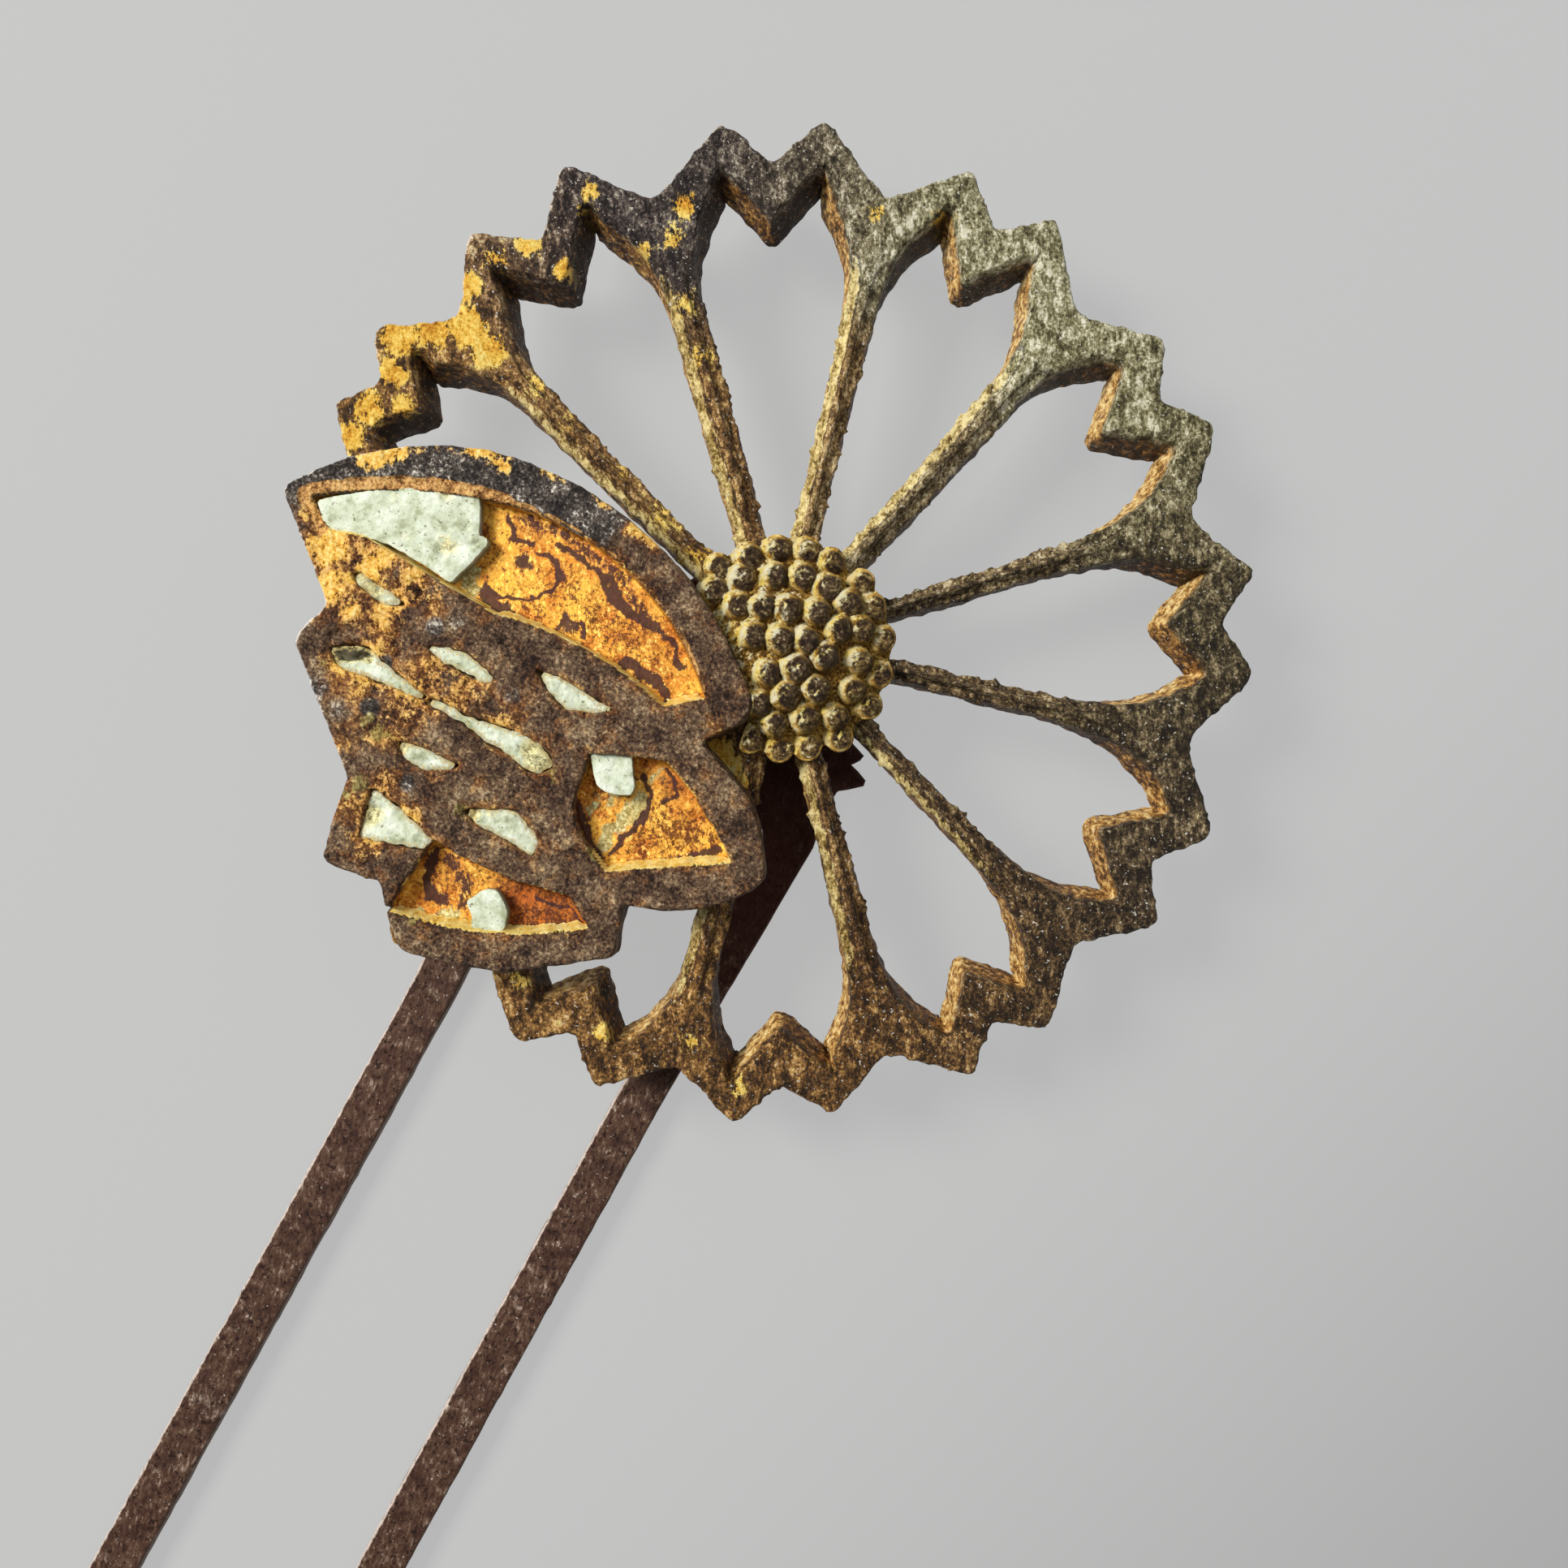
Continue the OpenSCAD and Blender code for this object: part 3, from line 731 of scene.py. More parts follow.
# Bare brass on the upper left of the flower and in the lower rim: x, y, radius, strength
FLOWER_GOLD = [
    (-18.4, 3.3, 1.5, 1.1), (-17.3, 4.2, 1.3, 1.2), (-16.2, 5.0, 1.5, 1.2),
    (-15.0, 4.6, 1.3, 1.1), (-17.0, 6.4, 1.2, 0.95), (-17.9, 1.9, 1.2, 1.0),
    (-18.1, 0.2, 1.4, 0.95), (-18.2, -1.2, 1.4, 0.9), (-16.9, 0.9, 1.1, 0.8),
    (-16.5, 7.9, 1.1, 0.75), (-15.6, 9.1, 1.0, 0.85), (-13.9, 8.9, 0.9, 0.9),
    (-14.5, 12.2, 0.8, 0.7), (-14.2, 11.4, 0.8, 0.7), (-10.9, 13.6, 1.0, 0.95),
    (-10.6, 12.1, 1.0, 0.6), (-11.6, 11.0, 1.3, 0.6), (-1.5, 18.2, 1.0, 0.7),
    (-4.0, 17.0, 0.9, 0.6), (-1.6, -17.2, 1.0, 0.6), (2.4, -17.4, 1.0, 0.55),
    (5.6, -16.0, 1.2, 0.5), (8.2, -16.6, 1.0, 0.5), (-12.6, 4.4, 1.6, 0.4),
    (-10.4, 3.6, 2.0, 0.42), (-8.0, 2.9, 2.0, 0.42), (-5.6, 2.2, 2.0, 0.45),
    (-3.6, 1.6, 1.6, 0.6), (0.9, -5.0, 1.0, 1.1), (1.6, -5.5, 1.0, 1.1),
    (2.4, -5.9, 0.9, 1.0), (-9.0, 10.0, 1.6, 0.5), (-7.4, 8.4, 1.6, 0.5),
]


def stretched_out(control, counts):
    """Straight stretches between rows of control points, with a count of points each;
    the last point is left to the next stretch."""
    parts = []
    for i, count in enumerate(counts):
        t = (np.arange(count) / count)[None, :, None]
        p, q = control[:, i, None], control[:, i + 1, None]
        parts.append((1 - t) * p + t * q)
    return np.concatenate(parts, 1)


def beside_spokes(ends, start, short, half):
    """Points along each spoke, from the hub to the rim. The first lies in the hub, the
    spoke's root inside the radius start, and the others lie short of the spoke's end,
    which is at a notch. All are half to the left of its middle line."""
    way = unit(ends - HUB_MID)[:, None]
    length = np.linalg.norm(ends - HUB_MID, axis=1)
    short = np.column_stack([
        length - start + SPOKE_ROOT, np.broadcast_to(short, (PETAL_COUNT, len(short)))])
    return ends[:, None] - short[..., None] * way + half[..., None] * left_of(way)


def spoke_edges(ends, width, side):
    """One edge of each spoke, with its flare: the left one seen from the hub where side
    is 1, the right one where it is -1."""
    flare = np.broadcast_to(FLARE[:, 1], (PETAL_COUNT, len(FLARE)))
    half = np.column_stack([width * SPOKE_IN, width * SPOKE_OUT, flare])
    return beside_spokes(ends, HUB_REACH, [STRAIGHT_END, *FLARE[:, 0]], side * half)


def spoke_middles(ends):
    """The middle line of each spoke, with as many points as its edges have, and its
    end."""
    short = [STRAIGHT_END, 4.0, 3.0, 2.0, 1.0, 0.0]
    return beside_spokes(ends, HUB_R, short, np.zeros((PETAL_COUNT, len(short) + 1)))


def rim_line(notch):
    """The rim's outline, a row of points for each petal from notch to notch, moved in by
    the radius of its edge, and the way out of the metal at each point."""
    tips = [FLOWER_MID + polar(TIP_1, AXIS - SPREAD),
            FLOWER_MID + polar(DIP, AXIS),
            FLOWER_MID + polar(TIP_2, AXIS + SPREAD)]
    rim = stretched_out(np.stack([np.roll(notch, 1, 0), *tips, notch], 1), ROUND_TIPS)
    rim = eased(rim.reshape(-1, 2), RIM_PASSES)
    out = -left_of(along(rim))
    inside = rim - RIM_EDGE * out
    return inside.reshape(PETAL_COUNT, -1, 2), out.reshape(PETAL_COUNT, -1, 2)


def opening_lines(notch):
    """The openings' outlines: out along one spoke, round the petal's two lobes, back
    along the other spoke and across the hub, with rounded corners."""
    up = spoke_edges(np.roll(notch, 1, 0), np.roll(SPOKE_W, 1), 1)
    down = spoke_edges(notch, SPOKE_W, -1)[:, ::-1]
    lobe = SPREAD + LOBE_SPREAD
    lobes = [FLOWER_MID + polar(TIP_1 - RIM_W, AXIS - lobe),
             FLOWER_MID + polar(POINT, AXIS),
             FLOWER_MID + polar(TIP_2 - RIM_W, AXIS + lobe)]
    hub_edge = (up[:, :1] + down[:, -1:]) / 2
    control = np.concatenate([up, np.stack(lobes, 1), down, hub_edge, up[:, :1]], 1)
    return eased(stretched_out(control, ROUND_OPENING), OPENING_PASSES)


def rung_ends(rim_in):
    """Where the rungs end: along the middle of one spoke, round the rim, back along the
    middle of the other spoke, and at the hub's middle."""
    out_line = spoke_middles(rim_in[:, 0])
    in_line = spoke_middles(np.roll(rim_in[:, 0], -1, 0))[:, ::-1]
    hub = np.broadcast_to(HUB_MID, (PETAL_COUNT, 1, 2))
    through_hub = np.concatenate([in_line[:, -1:], hub, out_line[:, :1]], 1)
    return np.concatenate([
        stretched_out(out_line, ALONG_SPOKE), rim_in,
        stretched_out(in_line, ALONG_SPOKE[::-1]), stretched_out(through_hub, ACROSS_HUB)], 1)


def flower_sheet():
    """Twelve ladders, one round each opening. A rung runs from the opening's edge to the middle of
    a spoke, to the rim's outer edge, or to the hub's middle. Returns the joined sheet, the way out
    of the metal at its border, the walls' lean there, how much each point belongs to the rim, how
    far it is from the middle of a spoke, and how much it lies on the spoke's side towards the
    light, which gets a painted highlight."""
    notch = FLOWER_MID + polar(NOTCH, NOTCH_AT)
    rim_in, rim_out = rim_line(notch)
    opening, border = opening_lines(notch), rung_ends(rim_in)
    share = stretched_out(np.array(RIM_SHARE)[None, :, None], ROUND_OPENING)
    widen = SPOKE_WIDEN + RIM_WIDEN * share
    rung = unit(border - opening)
    slant = np.clip((rung * -left_of(along(opening))).sum(-1), 0.5, 1.0)[..., None]
    edge = opening + rung * (widen + RIM_EDGE) / slant
    s = RUNG[:, None]
    xy = edge[:, :, None] * (1 - s) + border[:, :, None] * s

    rim_begin = sum(ALONG_SPOKE)
    rim_end = rim_begin + sum(ROUND_TIPS)
    way_out = np.zeros_like(xy)
    way_out[:, :, 0] = -rung / slant
    way_out[:, rim_begin:rim_end, -1] = rim_out
    way_out[:, rim_end, -1] = np.roll(rim_out[:, 0], -1, 0)
    lean = np.zeros(xy.shape[:3])
    lean[:, :, 0] = 2 * widen[..., 0]
    lean[:, :, -1] = RIM_LEAN
    rimness = np.broadcast_to(share, lean.shape)
    off_middle = np.broadcast_to(1 - RUNG, lean.shape)
    # The spokes' side towards the light, which gets a painted highlight
    lit = np.clip(-(rung @ LEFT), 0, 1)[..., None] * off_middle

    flat = xy.reshape(-1, 2)
    first, became = merged(flat)
    here = became.reshape(lean.shape)
    ahead = np.roll(here, -1, 1)
    quads = np.stack([here[:, :, :-1], here[:, :, 1:], ahead[:, :, 1:], ahead[:, :, :-1]], -1)
    fields = (v.ravel()[first] for v in (lean, rimness, off_middle, lit))
    return flat[first], quads.reshape(-1, 4), way_out.reshape(-1, 2)[first], *fields


def flower_roughness(points, mark, on_rim):
    """How far the flower's skin stands out: swells, grain, crumbs along the edges, the
    most on the spokes, and pits."""
    corner = (1 - np.abs(2 * mark - 1)) * (1 - 0.6 * on_rim)
    return (0.05 * grain(points, 1.7, 1) + 0.05 * grain(points, 0.5, 2, 2)
            + 0.05 * mark * grain(points, 0.3, 3) + 0.1 * corner * grain(points, 0.28, 5)
            + 0.14 * corner * smooth(0.2, 0.7, grain(points, 0.22, 6))
            - 0.06 * smooth(0.35, 0.9, grain(points, 0.4, 4)))


def flower_tones(plan, on_rim):
    """How light, green, cool and warm the flower is, by the angle round its middle. The
    rim's tones are weaker on the spokes."""
    angle = np.degrees(np.arctan2(*(plan - FLOWER_MID).T[::-1])) % 360
    at, *tones = np.array(RIM_TONES).T
    light, green, cool, warm = (np.interp(angle, at, t, period=360) for t in tones)
    return {"light": 0.6 + (light - 0.6) * (0.4 + 0.6 * on_rim),
            "green": green * (0.35 + 0.65 * on_rim),
            "cool": cool * on_rim,
            "warm": warm * on_rim + (1 - on_rim) * np.interp(angle, *WARM_SPOKES)}


def painted_highlight_on_edges(n, mark, x, near, far):
    """A painted whitish highlight on the edges towards the light: full where x is below near,
    fading to none at far."""
    return np.clip(n[:, :2] @ SUN, 0, 1) * (1 - np.abs(2 * mark - 1)) * (1 - smooth(near, far, x))


def make_flower(material):
    """The rim, spokes and hub. Top: the face, less a bevel on the spokes that grows from
    their middle line to their edges and fades into the rim and the hub."""
    xy, quads, way_out, lean, rimness, off, lit = flower_sheet()
    from_hub = np.linalg.norm(xy - HUB_MID, axis=1)
    free = (1 - rimness) * smooth(HUB_R - 0.1, HUB_R + 0.5, from_hub)
    top = FACE - SPOKE_BEVEL * free * (0.4 * off + 0.6 * smooth(0.15, 1.0, off))
    sheet = Sheet(xy, quads, top)
    points, faces, mark, base = sheet.solid(
        FLOWER_BACK, edge=RIM_EDGE, walls=3, out=way_out[sheet.rim], lean=lean[sheet.rim])
    n = normals(points, faces)
    plan = points[:, :2]
    on_rim = smooth(*RIM_FADE, np.linalg.norm(plan - FLOWER_MID, axis=1))
    hidden = 1 - smooth(HUB_R - 0.5, HUB_R + 0.3, np.linalg.norm(plan - HUB_MID, axis=1))
    rough = flower_roughness(points, mark, on_rim) * (1 - hidden)
    points = points + n * rough[:, None]
    points[:, 2] = np.clip(points[:, 2], FLOWER_BACK, FACE + GRAIN_TOP)
    outside = smooth(0.0, 0.4, (n[:, :2] * unit(plan - FLOWER_MID)).sum(-1))
    on_spokes = (1 - rimness)[base] * (mark < 1)
    # Painted light: a highlight on the spokes' sides and the outer edges towards the light, and
    # walls made lighter where they face it
    make_piece("flower_casting", points, faces, material, "flower_brass", ["flower"],
               **flower_tones(plan, on_rim), gold=blobs(plan, FLOWER_GOLD), wall=mark,
               lit=lit[base] * on_spokes, seam=off[base] * on_spokes,
               sunny=mark * (n[:, :2] @ unit(LEFT + 0.8 * UP)) * (1 - 0.7 * outside),
               frost=outside * painted_highlight_on_edges(n, mark, plan[:, 0], -12, 6))


# The seed head

# The height of the dome's foot above the hub, how deep the casting stands in the hub,
# how far it keeps from the leaf, and the steps of its grid and of a ray
DOME_FOOT, SEED_SINK, SEED_GAP = 0.12, 0.45, 0.05
SEED_STEP, RAY_STEP = 0.05, 0.03


def ray_reach(mid, turns, loop, most, back_off):
    """For each direction from mid: how far a ray goes, up to most, before it enters the
    outline, less back_off. Tested at even steps along all rays at once."""
    r = np.arange(0.0, most, RAY_STEP)
    xy = mid + r[None, :, None] * polar(1.0, turns)[:, None]
    gap, _ = nearest(xy.reshape(-1, 2), loop)
    hit = gap.reshape(len(turns), -1) > -back_off
    return np.where(hit.any(1), r[hit.argmax(1)], most)


def seed_outline():
    """The seed head's outline: the farther of the dome's edge and the granules' edges in
    each direction, or less where the leaf begins."""
    turns = np.arange(0, 360, 0.75)
    rel = GRANULES - SEED_MID
    rho, at = np.linalg.norm(rel, axis=1), np.degrees(np.arctan2(rel[:, 1], rel[:, 0]))
    across = rho * np.sin(np.radians(turns[:, None] - at))
    ahead = rho * np.cos(np.radians(turns[:, None] - at))
    reach = np.where(np.abs(across) < GRANULE_R, ahead + np.sqrt(
        np.maximum(GRANULE_R**2 - across**2, 0)), 0).max(1)
    reach = np.maximum(reach, DOME_R)
    leaf = bowed_outline(LEAF)
    reach = np.minimum(reach, ray_reach(SEED_MID, turns, leaf, most=5.5, back_off=SEED_GAP))
    return eased(SEED_MID + reach[:, None] * polar(1.0, turns), 2)[::-1]


def dome(r):
    """The dome's height at a distance from its middle: a ball's cap on the hub."""
    ball = (DOME_R**2 + DOME_H**2) / (2 * DOME_H)
    low = FACE + DOME_H - ball
    return np.maximum(low + np.sqrt(np.maximum(ball**2 - r**2, 0)), FACE + DOME_FOOT)


def granule_knobs(xy):
    """Over each granule its middle's height plus a rounded knob, (1 - (d / R)^2.4)^0.6, where the
    distance d is partly a turned square's, so that no knob is quite round. Returns the highest
    knob at each point, how much it is a worn crown, and the least d / R. The worn crowns are
    shifted to the side away from the light, which makes their dark partly painted shade."""
    knob, crown, share = np.full(len(xy), -1.0), np.zeros(len(xy)), np.full(len(xy), 9.0)
    moved = strayed(xy, 0.05, 0.5, 21, 1)
    # Shifting the crowns away from the light makes them partly painted shade
    worn = -0.17 * SUN
    for i, middle in enumerate(GRANULES):
        r = KNOB_R * (1 + 0.05 * math.sin(5.0 * i))
        off = moved - middle
        turned = polar(1.0, 37.0 * i)
        box = np.maximum(np.abs(off @ turned), np.abs(off @ left_of(turned)))
        d = (0.75 * np.linalg.norm(off, axis=1) + 0.29 * box) / r
        foot = dome(np.linalg.norm(middle - SEED_MID)) - 0.08
        h = foot + 0.66 * np.maximum(1 - d**2.4, 0) ** 0.6
        knob = np.where(d < 1, np.maximum(knob, h), knob)
        crown = np.maximum(crown, 1 - smooth(0.4, 0.95, np.linalg.norm(off - worn, axis=1) / r))
        share = np.minimum(share, d)
    return knob, crown, share


def make_seed_head(material):
    """A dome with granules. Height: the greater of the dome, a little sunk and uneven,
    and the granules' knobs, with the hollows between left sharp and the crowns worn."""
    xy, quads = grid_sheet(moved_in(seed_outline(), 0.08), SEED_STEP)
    here = on_plane(xy)
    knob, crown, share = granule_knobs(xy)
    ground = dome(np.linalg.norm(xy - SEED_MID, axis=1)) - 0.16 + 0.05 * grain(here, 0.35, 23)
    top = np.maximum(ground, knob) + 0.05 * grain(here, 0.22, 24, 2)
    top = top - 0.1 * crown * smooth(0.0, 0.7, grain(here, 0.4, 25))
    sheet = Sheet(xy, quads, np.maximum(top, FACE - 0.2))
    points, faces, mark, base = sheet.solid(FACE - SEED_SINK, edge=0.1, mid=SEED_MID, walls=3)
    n = normals(points, faces)
    yolk = smooth(2.2, 4.2, np.linalg.norm(xy - SEED_MID - 0.8 * SUN, axis=1))
    # Painted light: each knob's side towards the light and away from it, and crowns shifted into
    # the shade
    make_piece("seed_head_casting", points, faces, material, "seed_brass", ["seed_head"],
               crown=crown[base] * (mark == 0), hollow=smooth(0.84, 1.0, share)[base],
               sunny=n[:, :2] @ SUN, yolk=yolk[base])


# The leaf

# The radius of the leaf's rounded edge and the step of its grid
LEAF_EDGE, LEAF_STEP = 0.2, 0.068
# How deep the bevels and the valleys round the slots are, and how high a swell may stand
BEVEL_DEPTH, VALLEY_DEPTH, SWELL_TOP = 0.13, 0.13, 0.07
# Creases and ridges between the slots: depth, half width, line
CREASES = [
    (0.16, 0.3, [(-14.4, -8.7), (-14.1, -8.0), (-13.0, -7.35), (-12.2, -7.3), (-11.7, -7.7)]),
    (-0.1, 0.6, [(-11.6, -5.1), (-9.0, -5.3), (-5.9, -4.95)]),
    (-0.1, 0.5, [(-13.0, -7.8), (-11.2, -7.9), (-7.5, -7.8), (-3.4, -7.0)]),
    (0.1, 0.35, [(-12.3, -8.1), (-11.0, -7.8), (-9.6, -7.9)]),
    (-0.1, 0.5, [(-12.6, -10.2), (-10.0, -9.9), (-6.0, -10.0), (-3.6, -9.9)]),
    (0.12, 0.3, [(-9.2, -12.0), (-7.4, -11.6), (-6.6, -11.8)]),
    (-0.1, 0.5, [(-9.9, -12.1), (-7.0, -12.7), (-2.0, -12.3)]),
]
# From the photo, x, y, radius, strength: where the leaf's dark skin is worn to orange and gold
LEAF_GOLD = [
    (-16.2, -5.5, 1.7, 1.1), (-14.4, -5.2, 1.5, 1.05), (-15.4, -6.9, 1.7, 1.0),
    (-12.9, -6.9, 1.5, 0.75), (-12.6, -5.2, 1.3, 0.8), (-14.2, -7.2, 1.2, 0.9),
    (-12.5, -7.9, 1.2, 0.6), (-13.4, -9.6, 1.6, 0.5), (-12.3, -9.7, 1.4, 0.6),
    (-10.4, -9.6, 1.8, 0.55), (-10.3, -8.0, 1.5, 0.6), (-8.8, -8.0, 1.5, 0.55),
    (-7.0, -8.0, 1.1, 0.5), (-10.9, -10.8, 1.4, 0.6), (-9.6, -12.5, 1.1, 0.65),
    (-8.3, -13.1, 0.9, 0.6), (-10.6, -13.9, 1.3, 0.55), (-9.2, -15.2, 1.3, 0.5),
    (-12.0, -11.6, 1.4, 0.4), (-17.4, -4.6, 0.9, 0.8), (0.7, -4.6, 1.0, 0.4),
    (-11.4, -5.6, 1.3, 0.5),
]
# Gold along the leaf's upper edge: strength, half width, line
EDGE_GOLD = [
    (1.2, 0.85, [(-16.7, -1.9), (-16.2, -1.4), (-15.4, -0.9)]),
    (1.2, 0.8, [(-13.1, 0.45), (-12.5, 0.6), (-11.7, 0.6)]),
    (0.75, 0.5, [(-15.1, -0.6), (-13.6, 0.45)]),
    (0.8, 0.6, [(-10.4, 1.35), (-8.6, 1.4), (-6.8, 1.15), (-5.0, 0.6)]),
]
# Near-black skin
LEAF_DARK = [
    (-17.7, -5.6, 1.2, 0.5), (-12.1, -8.4, 0.7, 0.9),
    (-11.7, -10.2, 0.8, 0.9), (-13.9, -10.6, 1.3, 0.6), (-9.0, -12.1, 0.8, 0.7),
    (-11.0, -6.2, 0.9, 0.7), (-10.3, -5.6, 1.0, 0.5), (-7.0, -7.2, 1.0, 0.5),
    (-12.7, -10.9, 1.0, 0.5),
]
DARK_BAND = [
    (-18.7, -3.6), (-16.7, -2.3), (-14.4, -0.8), (-12.0, 0.1), (-9.6, 0.5), (-7.6, 0.3),
]
# Deeper orange ground in the cells: the lower cell, and painted shadow under the upper walls of
# the upper and right cells
LEAF_EMBER_AND_SHADE = [
    (-1.8, -14.4, 4.0, 1.5), (-5.9, -14.6, 2.0, 0.5), (-2.0, -8.8, 2.0, 0.4),
    (0.2, -7.0, 1.5, 0.8), (1.2, -8.4, 2.4, 0.35), (0.2, -10.2, 1.6, 0.3),
    (-9.6, -1.1, 1.4, 0.5), (-6.5, -1.0, 1.4, 0.5),
    (-4.3, -1.6, 1.2, 0.5), (-3.5, -2.6, 1.6, 0.3),
]
# Dense red-brown speckle on the floors
LEAF_SPECK = [
    (-7.6, -2.4, 1.4, 0.4), (-5.6, -2.9, 1.7, 0.65), (-4.0, -3.1, 1.4, 0.65),
    (-3.0, -3.4, 1.2, 0.5), (-8.3, -3.9, 1.2, 0.4), (-9.9, -1.0, 1.0, 0.5),
    (0.6, -8.8, 1.5, 1.0), (1.6, -8.6, 1.4, 0.9), (0.4, -10.0, 1.3, 0.7),
    (-2.0, -14.4, 3.4, 0.6), (-5.6, -14.4, 1.8, 0.5), (-2.2, -8.9, 1.2, 0.8),
]
# What a pale cement left on the floors, and crust beside the slots
LEAF_GREEN = [
    (-11.2, -3.7, 0.9, 1.0), (-10.7, -4.1, 0.7, 0.8), (-2.4, -9.6, 0.9, 0.55),
    (-1.9, -9.0, 0.8, 0.55), (-0.7, -7.3, 0.6, 0.6),
    (-6.3, -16.5, 0.6, 0.9), (-5.0, -15.9, 0.8, 0.7), (-0.6, -6.9, 0.6, 0.5),
    (-11.6, -10.7, 0.7, 0.6), (-10.8, -10.9, 0.7, 0.75), (-6.7, -12.0, 0.7, 0.7),
    (-10.6, -13.0, 0.8, 0.75), (-10.9, -13.7, 0.7, 0.6), (-15.2, -5.9, 0.6, 0.4),
    (-4.2, -9.1, 0.6, 0.55), (-14.0, -9.6, 0.6, 0.5),
]
# The right cell's side wall towards the light, painted as a highlight, and the strip of cement
# that crosses its floor
RIGHT_WALL_HIGHLIGHT = [(-0.5, -6.4), (1.8, -7.35), (3.65, -8.7)]
CEMENT_STRIP = [(-0.75, -8.3), (-0.95, -9.4), (-1.1, -9.9), (-1.15, -10.9)]
# Strength, half width and line of each stain; the wide one along the upper cell's far wall is
# painted shadow
STAINS_AND_SHADE = [
    (0.8, 0.28, [(-10.9, -0.9), (-10.3, -1.6), (-9.3, -1.4)]),
    (0.8, 0.3, [(-8.5, -1.1), (-7.6, -1.05), (-6.6, -1.1)]),
    (1.0, 0.42, [(-6.6, -1.1), (-5.75, -1.6), (-4.85, -1.95), (-3.7, -2.0)]),
    (0.8, 0.25, [(-3.7, -2.0), (-2.8, -2.1), (-1.9, -2.9)]),
    (1.0, 0.5, [(-10.1, -4.15), (-9.3, -4.4), (-8.4, -4.5)]),
    (1.0, 0.5, [(-3.8, -3.85), (-3.0, -3.8), (-1.9, -4.1)]),
    (0.75, 0.22, [(-7.0, -4.0), (-6.9, -3.4), (-6.2, -3.2), (-5.8, -3.7)]),
    (0.85, 0.26, [(-1.2, -7.6), (-0.6, -7.9), (-0.25, -8.5), (-0.35, -9.6), (-0.9, -10.8)]),
    (0.8, 0.22, [(-0.4, -6.7), (0.3, -7.4), (0.1, -7.9)]),
    (0.7, 0.5, [(2.9, -8.7), (2.2, -9.3), (1.4, -10.0)]),
    (0.9, 0.55, [(-6.9, -14.0), (-6.7, -15.0), (-6.2, -15.8)]),
    (0.6, 0.8, [(-6.0, -14.2), (-5.2, -14.6), (-4.9, -15.2)]),
    (0.7, 0.3, [(-2.6, -13.7), (-1.2, -13.5), (-0.3, -13.9)]),
    # Painted shadow under the upper cell's far wall
    (0.55, 0.7, [(-10.2, -0.8), (-8.0, -0.5), (-5.6, -1.0), (-3.6, -2.0)]),
    (0.8, 0.5, [(-3.1, -9.6), (-2.2, -10.4), (-1.2, -11.2)]),
]
# Blots on the cells' floors: x, y, radius, strength
BLOTS = [
    (-9.4, -2.35, 0.85, 0.85), (-6.6, -3.6, 0.75, 0.75), (-5.9, -15.6, 0.7, 0.9),
    (-10.1, -4.1, 0.6, 0.9), (-9.2, -4.35, 0.6, 1.0), (-8.4, -4.45, 0.4, 1.0),
]
# The middle of the ring-shaped stain in the upper cell
RING_MID = [-9.25, -2.73]


def wall_slope(xy, foot):
    """How wide a cell's wall is: wide at the edge towards the photo's lower side, steep
    elsewhere."""
    way = unit(foot - xy)
    low = -(way @ UP)
    return 0.07 + 0.07 * smooth(0.4, 0.7, low) + 0.19 * smooth(0.9, 0.98, low)


def upper_bevel(xy, gap, foot, ragged):
    """The bevel outside the upper cell, on its sides towards the photo's top and left; a
    strip that is widest at its left end."""
    away = unit(xy - foot)
    high = np.maximum(smooth(-0.1, 0.4, away @ UP), smooth(0.5, 0.8, away @ LEFT))
    strip = 0.42 * (1 - smooth(-12.8, -9.5, xy[:, 0])) + 0.02
    return high * (1 - smooth(0.0, 0.12, -gap + 2 * ragged - strip)) * (gap <= 0)


def sunk_cells(xy, ragged):
    """The three large cells. Returns 0 on the face to 1 on a floor, where the slanting walls
    towards the light are, which get a painted highlight, the lips round the cells, and the upper
    cell's bevel."""
    cell, wall, lip = np.zeros((3, len(xy)))
    for name, corners in CELLS.items():
        outline = eased(even_loop(bowed_outline(corners), 0.08), 2)
        gap, foot = nearest(xy, outline)
        gap = gap + ragged * (0.4 if name == "upper" else 1.0)
        slope = wall_slope(xy, foot)
        depth = np.clip(gap / slope, 0, 1)
        cell = np.maximum(cell, depth)
        wall = np.maximum(wall, (gap > 0) * (depth < 0.97) * smooth(0.075, 0.12, slope))
        lip = np.maximum(lip, (1 - smooth(0.1, 0.45, -gap)) * (gap <= 0))
        if name == "upper":
            bevel = upper_bevel(xy, gap, foot, ragged)
    # The right cell's side wall towards the light, for a painted highlight
    wall = np.maximum(wall, 0.8 * (cell > 0) * near_line(xy, RIGHT_WALL_HIGHLIGHT, 0.16))
    return cell, wall, lip, bevel


def sunk_slots(xy, ragged):
    """The slots and the corner cell. Returns 0 on the face to 1 in a slot, the shallow
    valleys round them, and their lips."""
    slot, valley, lip = np.zeros((3, len(xy)))
    for corners in [*SLOTS, CHIPS["corner"]]:
        gap, _ = nearest(xy, eased(bowed_outline(corners), 1))
        gap = gap + 1.2 * ragged
        slot = np.maximum(slot, smooth(-0.06, 0.1, gap))
        valley = np.maximum(valley, 1 - smooth(0.0, 0.55, -gap))
        lip = np.maximum(lip, 0.8 * (1 - smooth(0.1, 0.35, -gap)) * (gap < 0))
    return slot, valley, lip


